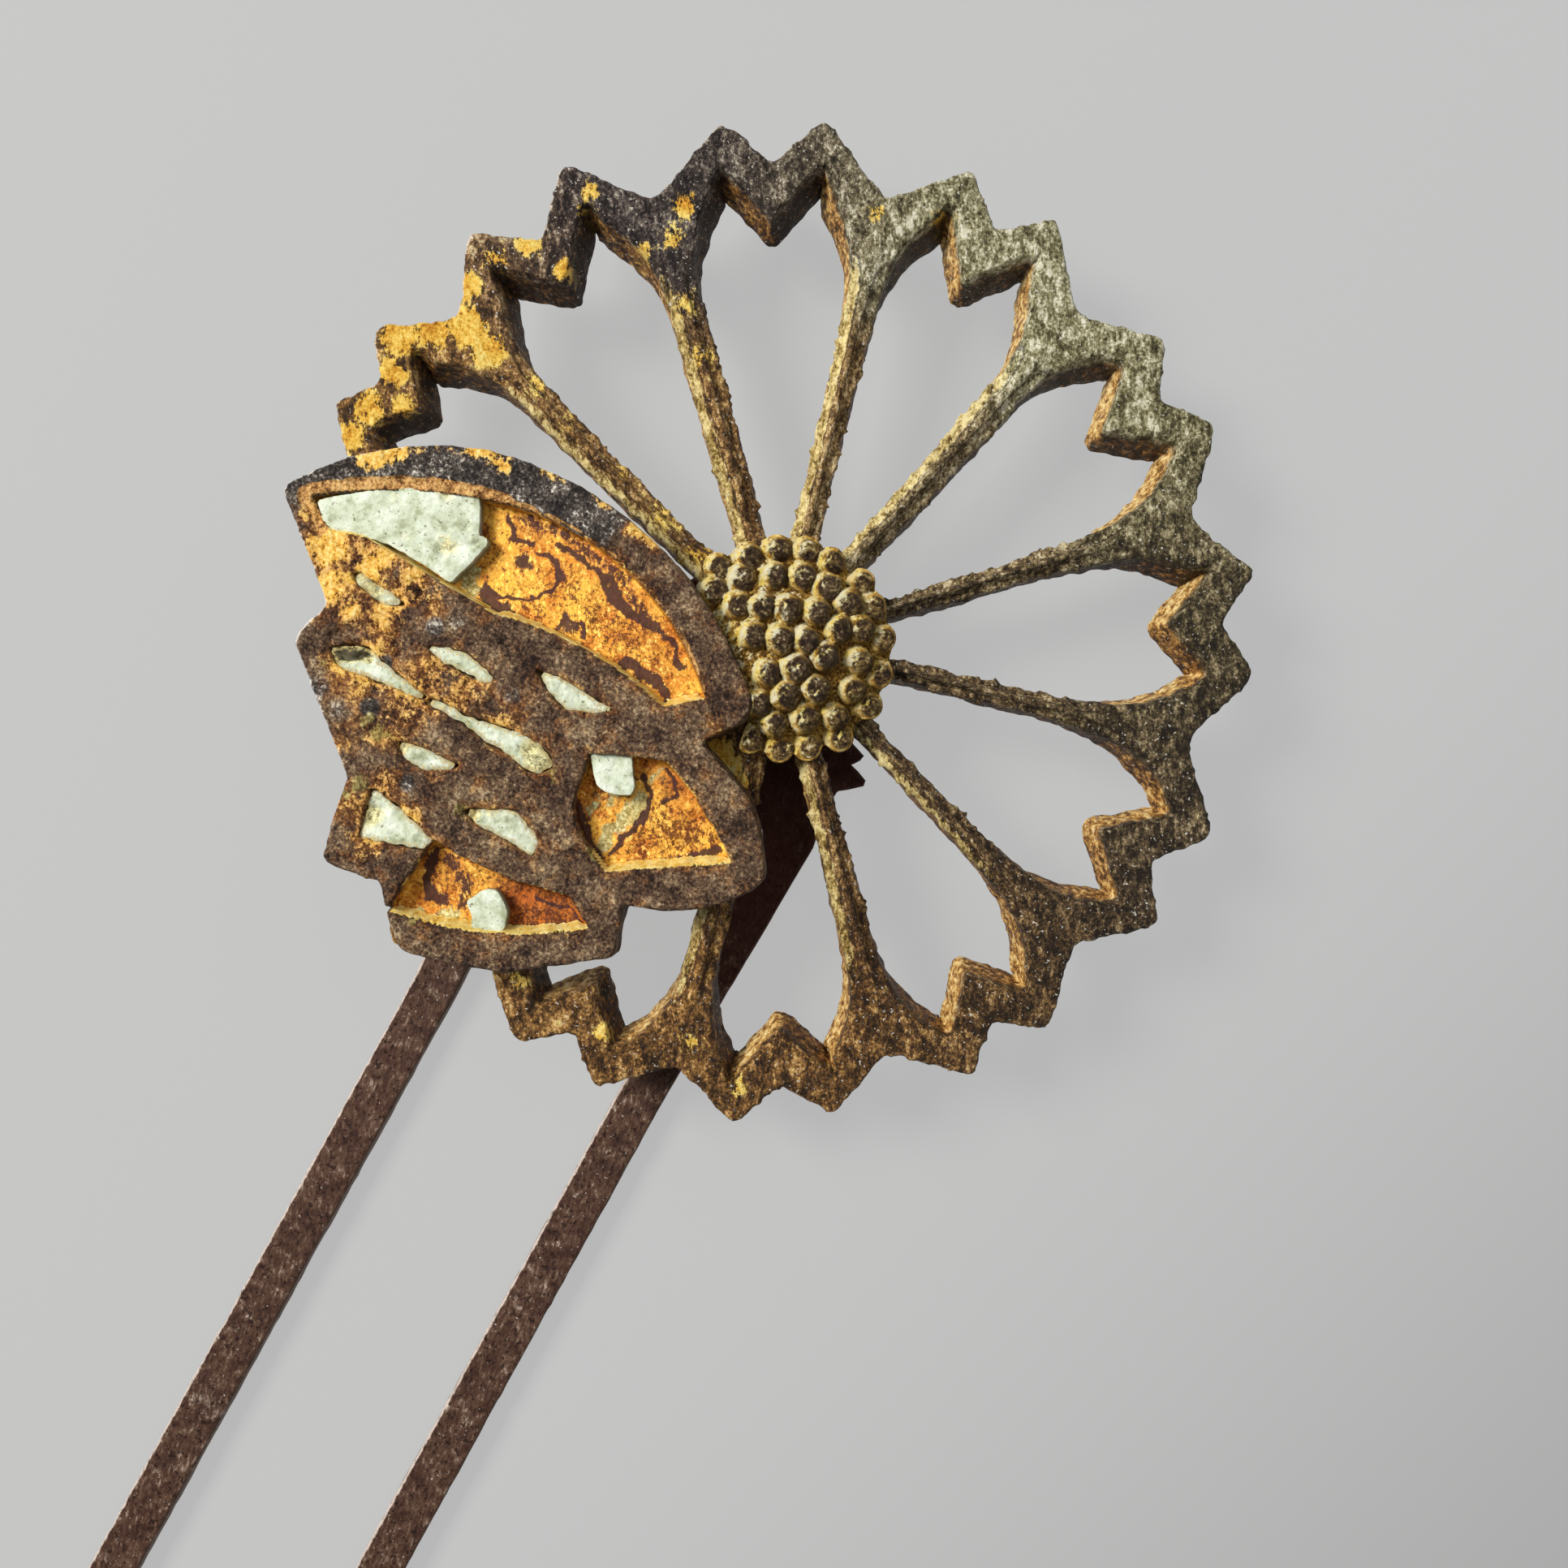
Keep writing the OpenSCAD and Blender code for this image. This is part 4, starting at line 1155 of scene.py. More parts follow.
def leaf_stain_and_shade(xy):
    """Dark stains on the cells' floors: a ring with a blotch in it, streaks along the far edge,
    painted shadow under the upper cell's far wall, blots, and the arc in the right cell; their
    edges wander."""
    bent = strayed(xy, 0.16, 0.5, 41)
    across, up = -(bent - RING_MID) @ LEFT, (bent - RING_MID) @ UP
    ring = np.abs(np.hypot(across / 1.55, up) - 1)
    stain = (1 - smooth(0.02, 0.13, ring)) * 0.85 * smooth(-0.9, -0.2, 0.6 * across - up)
    for strength, wide, line in STAINS_AND_SHADE:
        stain = np.maximum(stain, strength * near_line(bent, line, wide))
    return np.maximum(stain, blobs(bent, BLOTS))


def leaf_patches(xy, lip, valley, bevel):
    """Where the leaf's skin is worn to gold, near-black or crusted with cement, and its
    floors deeper orange, speckled or stained."""
    bent = strayed(xy, 0.2, 0.5, 43)
    gold = blobs(bent, LEAF_GOLD) + 0.2 * lip + 0.12 * valley
    for strength, wide, line in EDGE_GOLD:
        gold = np.maximum(gold, strength * near_line(bent, line, wide))
    black = np.maximum(blobs(xy, LEAF_DARK), 0.85 * near_line(bent, DARK_BAND, 2.1))
    cement = np.maximum(blobs(bent, LEAF_GREEN), 0.85 * near_line(bent, CEMENT_STRIP, 0.65))
    return {"gold": gold, "dark": black * (1 - bevel), "green": cement,
            "ember": blobs(xy, LEAF_EMBER_AND_SHADE), "speck": blobs(xy, LEAF_SPECK)}


def make_leaf(material):
    """The lobed plaque. Height: the face with soft swells, less the depth of each cell
    over a slanting wall and of each slot over a steep one, and less a shallow bevel
    round the slots and along the large cell."""
    loop = eased(even_loop(bowed_outline(LEAF), 0.1), 4)
    xy, quads = grid_sheet(eased(moved_in(loop, LEAF_EDGE), 2), LEAF_STEP)
    here = on_plane(xy)
    ragged = 0.05 * grain(here, 0.5, 31, 2)
    cell, wall, cell_lip, bevel = sunk_cells(xy, ragged)
    slot, valley, slot_lip = sunk_slots(xy, ragged)
    swell = 0.06 * grain(here, 3.0, 32) + 0.06 * grain(here, 0.9, 33, 2)
    pits = 0.1 * smooth(0.3, 0.9, grain(here, 0.42, 34)) + 0.05 * grain(here, 0.2, 35)
    for depth, wide, line in CREASES:
        pits = pits + depth * near_line(xy + ragged[:, None], line, wide)
    face = LEAF_FACE + (swell - pits) * (1 - cell) * (1 - slot)
    face = face - BEVEL_DEPTH * bevel - VALLEY_DEPTH * valley * (1 - cell)
    face = np.minimum(face, LEAF_FACE + SWELL_TOP)
    floor = 0.02 * grain(here, 0.5, 36, 2)
    top = face - (LEAF_FACE - CELL_FLOOR - floor) * cell
    top = np.minimum(top, face - (LEAF_FACE - SLOT_FLOOR) * slot)
    points, faces, mark, base = Sheet(xy, quads, top).solid(
        FACE, edge=LEAF_EDGE, lean=0.05, mid=LEAF_MID)
    n = normals(points, faces)
    bump = mark * (0.05 * grain(points, 0.35, 37) + 0.05 * grain(points, 1.1, 38))
    points = points + n * bump[:, None]
    points[:, 2] = np.maximum(points[:, 2], FACE)
    # Among these are painted light: a highlight on the cells' lit walls and on the edges towards
    # the light, and shadow under the cells' upper walls
    on_top = {"cell": cell, "cellwall": wall, "groove": slot, "stain": leaf_stain_and_shade(xy),
              "bevel": bevel}
    patches = leaf_patches(xy, np.maximum(cell_lip, slot_lip), valley, bevel)
    make_piece("leaf_casting", points, faces, material, "leaf_brass", ["leaf"],
               **{name: values[base] * (mark == 0) for name, values in on_top.items()},
               **{name: values[base] for name, values in patches.items()},
               wall=mark, frost=painted_highlight_on_edges(n, mark, points[:, 0], -15.0, -9.0))


# The inlay

# The step of a chip's grid
CHIP_STEP = 0.065
# Greenish-brown dirt: x, y, radius, strength
INLAY_DIRT = [
    (-14.9, -2.5, 0.6, 0.4), (-13.2, -1.5, 0.7, 0.5), (-12.2, -3.2, 0.9, 0.6),
    (-12.0, -2.3, 0.6, 0.4), (-13.7, -3.6, 0.6, 0.4), (-13.9, -6.1, 1.3, 0.75),
    (-14.6, -5.9, 0.7, 0.7), (-5.0, -8.8, 1.1, 1.0), (-5.4, -8.7, 0.9, 0.9),
    (-10.0, -10.9, 0.9, 0.9), (-9.7, -13.9, 0.9, 0.9), (-6.3, -11.9, 0.8, 1.1),
    (-5.6, -11.5, 0.6, 0.6), (-6.4, -5.8, 0.6, 0.4), (-10.0, -8.8, 0.5, 0.8),
    (-8.7, -13.4, 0.5, 0.4), (-3.9, -15.0, 0.4, 0.3), (-2.1, -7.6, 0.5, 0.25),
]
# A dirty stroke across the fourth slot's filling, near-black as painted shade at the slot's deep
# end, and a crack in the upper chip
DIRT_AND_SHADE_STROKE = [(-14.1, -9.25), (-13.6, -8.85), (-12.95, -8.45)]
CRACK = [(-11.9, -3.1), (-11.3, -2.7), (-11.0, -2.2)]


def make_chip(node, outline, floor, material, seed):
    """A flake of inlay: a flat face with slight waves, and chipped edges. The fillings of
    the slots and of the corner are rougher and crusted at their edges."""
    crusty = 1.0 if "slot" in node or "corner" in node else 0.0
    loop = eased(even_loop(outline, 0.06), 1)
    wobble = grain(on_plane(loop), 0.25, 50 + seed, 2)
    loop = moved_in(loop, 0.02 + (0.02 + 0.03 * crusty) * wobble[:, None])
    xy, quads = grid_sheet(loop, CHIP_STEP)
    here = on_plane(xy)
    gap, _ = nearest(xy, loop)
    top = (CHIP_FACE + 0.03 * grain(here, 1.2, 60 + seed)
           + (0.01 + 0.02 * crusty) * grain(here, 0.2, 70 + seed, 2)
           - (0.03 + 0.02 * crusty) * (1 - smooth(0.0, 0.1, gap)))
    # Dirt, which turns near-black where it is thickest: dark holes, and painted shade in the
    # fourth slot's deep end
    dirt = np.maximum(blobs(xy, INLAY_DIRT),
                      1.9 * near_line(strayed(xy, 0.12, 0.3, 45), DIRT_AND_SHADE_STROKE, 0.62))
    top = top - 0.16 * np.minimum(dirt, 1) * smooth(0.0, 0.5, grain(here, 0.32, 80 + seed))
    if node == "inlay_upper":
        top = top - 0.06 * near_line(xy, CRACK, 0.08)
    sheet = Sheet(xy, quads, np.minimum(top, LEAF_FACE))
    points, faces, mark, base = sheet.solid(
        floor, edge=0.03, foot=0.02, walls=2, mid=xy.mean(0))
    near_edge = np.maximum(mark, 1 - smooth(0.0, 0.12 + 0.25 * crusty, gap[base]))
    make_piece(node.replace("inlay", "chip"), points, faces, material, "inlay", [node],
               edge=near_edge * (0.45 + 0.4 * crusty), dirt=dirt[base], wall=mark)


def make_chips(material):
    """All the inlay: three chips, the corner filling and the seven slots' fillings."""
    rows = [("inlay_" + name, corners, SLOT_FLOOR if name == "corner" else CELL_FLOOR)
            for name, corners in CHIPS.items()]
    rows += [(f"inlay_slot_{i + 1}", corners, SLOT_FLOOR) for i, corners in enumerate(SLOTS)]
    for seed, (node, corners, floor) in enumerate(rows):
        make_chip(node, bowed_outline(corners), floor, material, seed)


# The pin

# The radius of the strip's rounded edges
PIN_EDGE = 0.14
# Rows down the plate and the bar, down to the prongs' roots, along the prongs, and
# round their ends
PLATE_ROWS, ROOT_ROWS, PRONG_ROWS, NOSE_ROWS = 76, 16, 380, 8
# Points across half the bar outside the gap between the prongs, which is also a prong's
# whole row, and across the gap
ACROSS_PRONG, ACROSS_GAP = 11, 25
# Where the prongs' roots end, how far from the tip the last rows begin, and the least
# half width there
ROOT_Y, NOSE, LEAST_HALF = -9.0, 0.6, 0.04
# Where the purple-brown is rubbed paler: x, y, radius, strength
PIN_PALE = [
    (-5.3, -36.5, 2.2, 0.5), (-4.9, -40.5, 2.8, 0.6), (-5.4, -43.5, 2.4, 0.55),
    (-5.0, -28.0, 1.2, 0.4),
]


def prong_half(y):
    """Half a prong's width: full, then narrowing to the end, which is a half circle."""
    end_r = PRONG_END_W / 2
    tip = PRONG_END + end_r
    taper = np.interp(y, [tip, PRONG_END + PRONG_TAPER], [end_r, PRONG_W / 2])
    nose = np.maximum(np.sqrt(np.maximum(end_r**2 - np.minimum(y - tip, 0) ** 2, 0)), LEAST_HALF)
    return np.where(y < tip, nose, taper)


def pin_outer(y):
    """The pin's outer edge at y: the shoulder's, then the narrowed prong's."""
    x = np.interp(-y, -SHOULDER[:, 1], SHOULDER[:, 0])
    return np.where(y < PRONG_END + PRONG_TAPER, PRONG_IN + PRONG_W / 2 + prong_half(y), x)


def pin_inner(y):
    """The prongs' inner edge at y: a fillet under the bar, a slant until the prongs are
    straight, and the narrowed prong's edge."""
    bar_in = PRONG_IN + BAR_SPLAY
    turn = np.arcsin(np.clip(1 - (BAR_Y - y) / FILLET, 0, 1))
    fillet = bar_in - FILLET * (1 - np.cos(turn))
    slant = np.interp(y, [STRAIGHT_Y, BAR_Y - FILLET], [PRONG_IN, bar_in])
    x = np.where(y > BAR_Y - FILLET, fillet, slant)
    return np.where(y < PRONG_END + PRONG_TAPER, PRONG_IN + PRONG_W / 2 - prong_half(y), x)


def plate_grid():
    """The plate and the bar, as rows across from side to side. The columns are split
    where the prongs' inner edges begin."""
    y = np.linspace(SHOULDER[0, 1] - PIN_EDGE, BAR_Y + PIN_EDGE, PLATE_ROWS)
    half = pin_outer(y) - PIN_EDGE
    split = (pin_inner(BAR_Y) + PIN_EDGE) / half[-1]
    across = np.concatenate([
        np.linspace(-1, -split, ACROSS_PRONG)[:-1], np.linspace(-split, split, ACROSS_GAP),
        np.linspace(split, 1, ACROSS_PRONG)[1:]])
    x = across * half[:, None]
    return np.stack([x, np.broadcast_to(y[:, None], x.shape)], -1)


def prong_grid(first_row):
    """The right prong, as rows from its inner to its outer edge. Its first row is the
    end of the plate's last."""
    y = np.concatenate([
        np.linspace(BAR_Y + PIN_EDGE, ROOT_Y, ROOT_ROWS)[:-1],
        np.linspace(ROOT_Y, PRONG_END + NOSE, PRONG_ROWS)[:-1],
        PRONG_END + np.linspace(NOSE, PIN_EDGE, NOSE_ROWS)])
    t = np.linspace(0, 1, ACROSS_PRONG)
    lo = (pin_inner(np.minimum(y, BAR_Y)) + PIN_EDGE)[:, None]
    hi = (pin_outer(y) - PIN_EDGE)[:, None]
    x = np.minimum(lo, hi - 0.02) * (1 - t) + hi * t
    x[0] = first_row
    return np.stack([x, np.broadcast_to(y[:, None], x.shape)], -1)


def joined_grids(grids):
    """Grids of plane points, row under row, joined where their points meet."""
    quads, start = [], 0
    for grid in grids:
        i = start + np.arange(grid[..., 0].size).reshape(grid.shape[:2])
        quads.append(np.stack([i[1:, :-1], i[1:, 1:], i[:-1, 1:], i[:-1, :-1]], -1).reshape(-1, 4))
        start += i.size
    flat = np.concatenate([grid.reshape(-1, 2) for grid in grids])
    first, became = merged(flat)
    return flat[first], became[np.concatenate(quads)]


def make_pin(material):
    """Shoulder plate, bar, two prongs and the post. Height: the strip's face, and the
    flower's back on the square post."""
    plate = plate_grid()
    right = prong_grid(plate[-1, -ACROSS_PRONG:, 0])
    left = right[:, ::-1] * [-1, 1]
    xy, quads = joined_grids([plate, right, left])
    in_post = POST / 2 - np.abs(xy).max(1)
    top = PIN_FACE + (FLOWER_BACK - PIN_FACE) * smooth(-0.12, 0.12, in_post)
    points, faces, mark, base = Sheet(xy, quads, top).solid(
        0.0, edge=PIN_EDGE, foot=0.1, walls=3)
    n = normals(points, faces)
    free = smooth(-0.1, 0.6, -in_post[base])
    worn = (0.018 * grain(points, 2.2, 81) + 0.022 * grain(points, 0.5, 82, 2)
            - 0.05 * smooth(0.5, 0.9, grain(points, 0.5, 83)) * (mark < 1))
    points = points + n * (worn * free)[:, None]
    points[:, 2] = np.maximum(points[:, 2], 0.0)
    # Painted light: the flower's shadow on the pin, and a highlight along its edges towards the
    # light
    make_piece("pin_strip", points, faces, material, "pin_brass", ["pin"],
               wall=mark, frost=painted_highlight_on_edges(n, mark, points[:, 1], 20.0, 21.0),
               dusk=smooth(-19.0, -9.0, points[:, 1]), pale=blobs(points[:, :2], PIN_PALE))


# Finishes


def flower_skin(t, level):
    """The flower's dull skin: brown, under grey-green crust, a cool near-black and warm
    brown, as far as its fields say."""
    skin = t.ramp(level, (0.05, 26, 17, 10), (0.35, 66, 50, 34), (0.58, 116, 92, 60),
                  (0.78, 168, 146, 104), (0.98, 224, 212, 182))
    crust = t.ramp(level, (0.05, 34, 30, 18), (0.35, 82, 76, 48), (0.58, 134, 129, 94),
                   (0.78, 182, 177, 142), (0.98, 234, 231, 212))
    dark = t.ramp(level, (0.1, 20, 16, 18), (0.4, 56, 50, 54), (0.7, 108, 102, 102),
                  (0.98, 212, 208, 200))
    brown = t.ramp(level, (0.05, 36, 22, 8), (0.35, 84, 56, 26), (0.58, 140, 98, 48),
                   (0.78, 198, 150, 82), (0.98, 244, 212, 142))
    colour = t.mix(t.field("green"), skin, crust)
    colour = t.mix(t.field("cool") * 0.75, colour, dark)
    return t.mix(t.field("warm") * 0.85, colour, brown)


def flower_finish():
    """Old brass: mottled dark skin drawn out in fine strokes, bare gold with hard dark edges,
    grey-green crust, a painted pale highlight on the spokes' sides towards the light, warm brown
    walls painted lighter where they face the light, and a painted whitish highlight on the outer
    edges towards the light."""
    t = Tree("worn brass, flower")
    broad, fine = t.noise(1.2, 8.0, 0.66), t.noise(0.13, 6.0, 0.75)
    mottle = t.noise(0.3, 8.0, 0.8, t.drawn_out(ROLL, 2.2))
    light = t.field("light")
    level = 0.5 + (broad - 0.5) * 1.2 + (mottle - 0.5) * 3.0 + (fine - 0.5) * 2.0
    level = level + (light - 0.5) * 0.8
    colour = flower_skin(t, level)
    at = t.field("gold") + (broad - 0.5) * 1.5 + (mottle - 0.5) * 2.6 + (fine - 0.5) * 0.8
    bare = t.step(at, 0.5, 0.56)
    edge = t.step(at, 0.4, 0.5) * (1 - bare)
    gold = t.ramp(fine * 0.4 + mottle * 0.3 + broad * 0.3, (0.38, 122, 68, 16),
                  (0.45, 204, 136, 40), (0.51, 246, 200, 82), (0.58, 255, 238, 150))
    colour = t.mix(edge * 0.55, colour, tone(44, 28, 18))
    colour = t.mix(bare, colour, gold)
    # A painted pale highlight on the spokes' sides towards the light
    lit = t.step(t.field("lit") + (mottle - 0.5) * 1.4 + (light - 0.5) * 0.4, 0.5, 0.72)
    pale = t.ramp(level, (0.15, 96, 74, 34), (0.42, 176, 148, 78), (0.75, 238, 222, 160))
    colour = t.mix(lit * 0.8, colour, pale)
    seam = t.field("seam") + (mottle - 0.5) * 0.7
    seam = t.step(seam, 0.36, 0.42) * (1 - t.step(seam, 0.46, 0.54))
    colour = t.mix(seam * 0.75, colour, tone(44, 30, 18))
    rough_wall = t.noise(0.3, 8.0, 0.78)
    # The walls are painted lighter where they face the light
    wall = t.ramp(rough_wall + t.field("sunny") * 0.11, (0.38, 26, 14, 6), (0.48, 72, 44, 19),
                  (0.555, 160, 108, 46), (0.62, 232, 184, 98), (0.69, 255, 236, 176))
    colour = t.mix(t.step(t.field("wall"), 0.55, 0.95) * 0.9, colour, wall)
    speck = t.step(t.noise(0.15, 2.0, 0.6, shift=30.0), 0.66, 0.7) * (1 - bare)
    colour = t.mix(speck * 0.75, colour, tone(226, 222, 208))
    # A painted whitish highlight on the outer edges towards the light
    frost = t.step(t.field("frost") + (fine - 0.5) * 1.6 + (broad - 0.5) * 1.6, 0.45, 0.9)
    colour = t.mix(frost * 0.65, colour, tone(232, 222, 208))
    metal = 0.2 + bare * 0.45
    rough = 0.56 - bare * 0.15 + (fine - 0.5) * 0.3
    return t.finish(colour, rough, metal, mottle * 0.6 + fine * 0.4, 0.2)


def seed_finish():
    """Yellow crust, a painted cream highlight on the knobs' sides towards the light, painted shade
    on their sides away from it, dark worn crowns that are partly painted shade, and olive dirt
    between.
    """
    t = Tree("worn brass, seed head")
    fine, broad = t.noise(0.14, 6.0, 0.75), t.noise(0.5, 6.0, 0.7)
    level = fine * 0.6 + broad * 0.4
    yellow = t.ramp(level, (0.38, 78, 54, 14), (0.46, 168, 124, 50), (0.53, 228, 192, 98),
                    (0.62, 255, 240, 182))
    dark = t.ramp(level, (0.38, 20, 12, 8), (0.47, 56, 40, 28), (0.55, 106, 84, 56),
                  (0.63, 214, 198, 150))
    # The dark crowns: worn tops, and partly painted shade where they are shifted away from the
    # light
    top = t.step(t.field("crown") - t.field("yolk") * 0.04 + (fine - 0.5) * 2.2
                 + (broad - 0.5) * 1.8, 0.1, 0.42)
    colour = t.mix(top, yellow, dark)
    # Painted shade on the knobs' sides away from the light
    painted_lee_shade = t.step(t.field("sunny") * -1.0 + (fine - 0.5) * 2.2 + (broad - 0.5), 0.12, 0.6)
    colour = t.mix(painted_lee_shade * 0.75, colour, dark)
    olive = t.ramp(fine, (0.38, 34, 21, 6), (0.5, 110, 76, 28), (0.6, 200, 158, 72))
    gap = t.step(t.field("hollow") + (broad - 0.5) * 1.4, 0.2, 0.8)
    colour = t.mix(gap * 0.9, colour, olive)
    # A painted cream highlight on the knobs' sides towards the light
    painted_highlight = t.step(t.field("sunny") + (fine - 0.5) * 2.6 + (broad - 0.5), 0.16, 0.62)
    highlight_cream = t.ramp(broad, (0.42, 250, 222, 110), (0.5, 250, 238, 176), (0.6, 238, 234, 206))
    colour = t.mix(painted_highlight * 0.85, colour, highlight_cream)
    gold = t.step(t.field("yolk") + (broad - 0.5) * 3.0 + (fine - 0.5) * 2.0, 0.8, 1.1)
    colour = t.mix(gold * 0.5 * (1 - top * 0.7), colour, t.ramp(
        level, (0.4, 96, 62, 14), (0.5, 214, 164, 62), (0.58, 252, 226, 124)))
    return t.finish(colour, 0.45 + (fine - 0.5) * 0.3, 0.25, fine * 0.7 + broad * 0.3, 0.22)


def leaf_skin(t, fine, mid, broad):
    """The leaf's own surface: dark brown, rusty or near-black skin, and amber to gold
    where it is worn bare. Returns the colour and how bare it is."""
    level = 0.5 + (mid - 0.5) * 1.5 + (fine - 0.5) * 2.6 + (broad - 0.5) * 1.7
    skin = t.ramp(level, (0.05, 26, 15, 10), (0.32, 72, 51, 38), (0.56, 107, 84, 63),
                  (0.78, 144, 120, 92), (0.98, 206, 186, 150))
    rust = t.ramp(level, (0.05, 38, 18, 6), (0.32, 96, 56, 26), (0.58, 150, 98, 50),
                  (0.95, 222, 176, 110))
    black = t.ramp(level, (0.1, 22, 18, 17), (0.4, 56, 49, 45), (0.66, 98, 89, 81),
                   (0.82, 172, 163, 150), (0.96, 240, 236, 226))
    shade, worn = t.field("dark"), t.field("gold")
    patch = t.noise(0.8, 8.0, 0.75, shift=12.0)
    colour = t.mix(t.step(worn * 0.9 + (patch - 0.5) * 2.6, 0.0, 0.55), skin, rust)
    colour = t.mix(t.step(shade + (mid - 0.5) * 0.9, 0.3, 0.6), colour, black)
    both = fine * 0.5 + mid * 0.5
    gold = t.ramp(both, (0.36, 120, 66, 20), (0.43, 208, 142, 50), (0.5, 250, 202, 92),
                  (0.58, 255, 238, 168))
    amber = t.ramp(both, (0.36, 96, 52, 20), (0.43, 160, 102, 42), (0.5, 212, 154, 74),
                   (0.58, 244, 206, 130))
    gold = t.mix(t.step(worn + (broad - 0.5) * 1.2, 0.5, 0.9), amber, gold)
    at = worn + (broad - 0.5) * 1.2 + (mid - 0.5) * 3.0 + (fine - 0.5) * 1.4 - shade * 0.45
    bare = t.step(at, 0.5, 0.62)
    colour = t.mix(t.step(at, 0.34, 0.5) * 0.5, colour, tone(112, 68, 32))
    colour = t.mix(bare, colour, gold)
    strip = t.ramp(level, (0.2, 92, 56, 24), (0.45, 196, 140, 76), (0.8, 244, 202, 130))
    return t.mix(t.step(t.field("bevel"), 0.3, 0.6) * 0.85, colour, strip), bare


def cell_ground(t, fine, mid, broad):
    """The cells' floors: orange-gold, deeper orange and in painted shadow where its field says,
    with painted glints, red-brown dots and veins."""
    both = fine * 0.5 + mid * 0.5
    ground = t.mix(t.step(broad, 0.38, 0.6), tone(186, 110, 26), tone(228, 168, 60))
    # Deeper orange, and painted shadow under the cells' upper walls
    ember = t.step(t.field("ember") + (broad - 0.5) * 1.0, 0.1, 0.9)
    ground = t.mix(ember * 0.85, ground, t.ramp(
        both, (0.4, 184, 98, 26), (0.48, 148, 70, 14), (0.54, 100, 42, 8), (0.6, 76, 32, 8)))
    speck = t.field("speck")
    dots = t.step(both + speck * 0.06, 0.53, 0.555)
    ground = t.mix(dots * 0.9, ground, tone(78, 34, 8))
    vein = t.noise(0.8, 6.0, 0.65, shift=5.0) - 0.5
    vein = 1 - t.step(vein.math("ABSOLUTE"), 0.006, 0.026)
    ground = t.mix(vein * (0.3 + speck * 0.5), ground, tone(96, 42, 12))
    # Painted glints
    painted_glint = t.step(both, 0.47, 0.4) * (1 - ember)
    return t.mix(painted_glint * 0.75, ground, tone(255, 226, 120))


def leaf_finish():
    """Dark brown skin, orange-gold where worn, bright cell floors with red-brown speckle, dark
    stains, painted shadow under their upper walls and painted glints, greenish cement on both, and
    a painted highlight on the cells' lit walls and on the edges towards the light."""
    t = Tree("worn brass, leaf")
    fine, broad = t.noise(0.13, 6.0, 0.75), t.noise(1.3, 8.0, 0.66)
    mid = t.noise(0.32, 8.0, 0.8, t.drawn_out(ROLL, 1.8))
    colour, bare = leaf_skin(t, fine, mid, broad)
    ground = cell_ground(t, fine, mid, broad)
    left = t.step(t.field("green") + (mid - 0.5) * 2.0, 0.35, 0.55)
    colour = t.mix(left * 0.75, colour, t.ramp(
        fine * 0.5 + mid * 0.5, (0.38, 52, 42, 16), (0.46, 112, 98, 48), (0.54, 172, 158, 92),
        (0.6, 220, 210, 150)))
    ground = t.mix(left * 0.9, ground, t.ramp(
        fine, (0.4, 112, 94, 44), (0.5, 166, 156, 98), (0.6, 218, 214, 164)))
    blot = t.field("stain") + (mid - 0.5) * 1.7 + (fine - 0.5) * 0.9
    ground = t.mix(t.step(blot, 0.24, 0.42) * 0.45, ground, tone(140, 68, 18))
    ground = t.mix(t.step(blot, 0.42, 0.5) * 0.92, ground, t.ramp(
        fine, (0.4, 26, 10, 12), (0.6, 74, 40, 34)))
    cell = t.field("cell")
    colour = t.mix(t.step(cell, 0.25, 0.7), colour, ground)
    # A painted highlight on the cells' walls that face the light
    pale = t.ramp(mid, (0.36, 204, 144, 42), (0.46, 250, 212, 98), (0.58, 255, 238, 162))
    colour = t.mix(t.step(t.field("cellwall"), 0.3, 0.6) * 0.95, colour, pale)
    colour = t.mix(t.field("groove") * 0.75, colour, tone(124, 98, 48))
    wall = t.ramp(mid, (0.38, 34, 20, 14), (0.5, 92, 66, 46), (0.62, 158, 128, 90))
    colour = t.mix(t.step(t.field("wall"), 0.5, 0.95), colour, wall)
    # A painted whitish highlight on the edges towards the light
    frost = t.step(t.field("frost") + (fine - 0.5) * 1.6 + (broad - 0.5) * 1.6, 0.4, 0.8)
    colour = t.mix(frost * 0.8, colour, tone(238, 232, 222))
    metal = 0.15 + bare * 0.3 + cell * 0.2
    rough = 0.62 - cell * 0.15 + (fine - 0.5) * 0.3
    depth = (fine * 0.4 + mid * 0.6 + broad * 1.8) * (1 - cell * 0.75)
    return t.finish(colour, rough, metal, depth, 0.2)


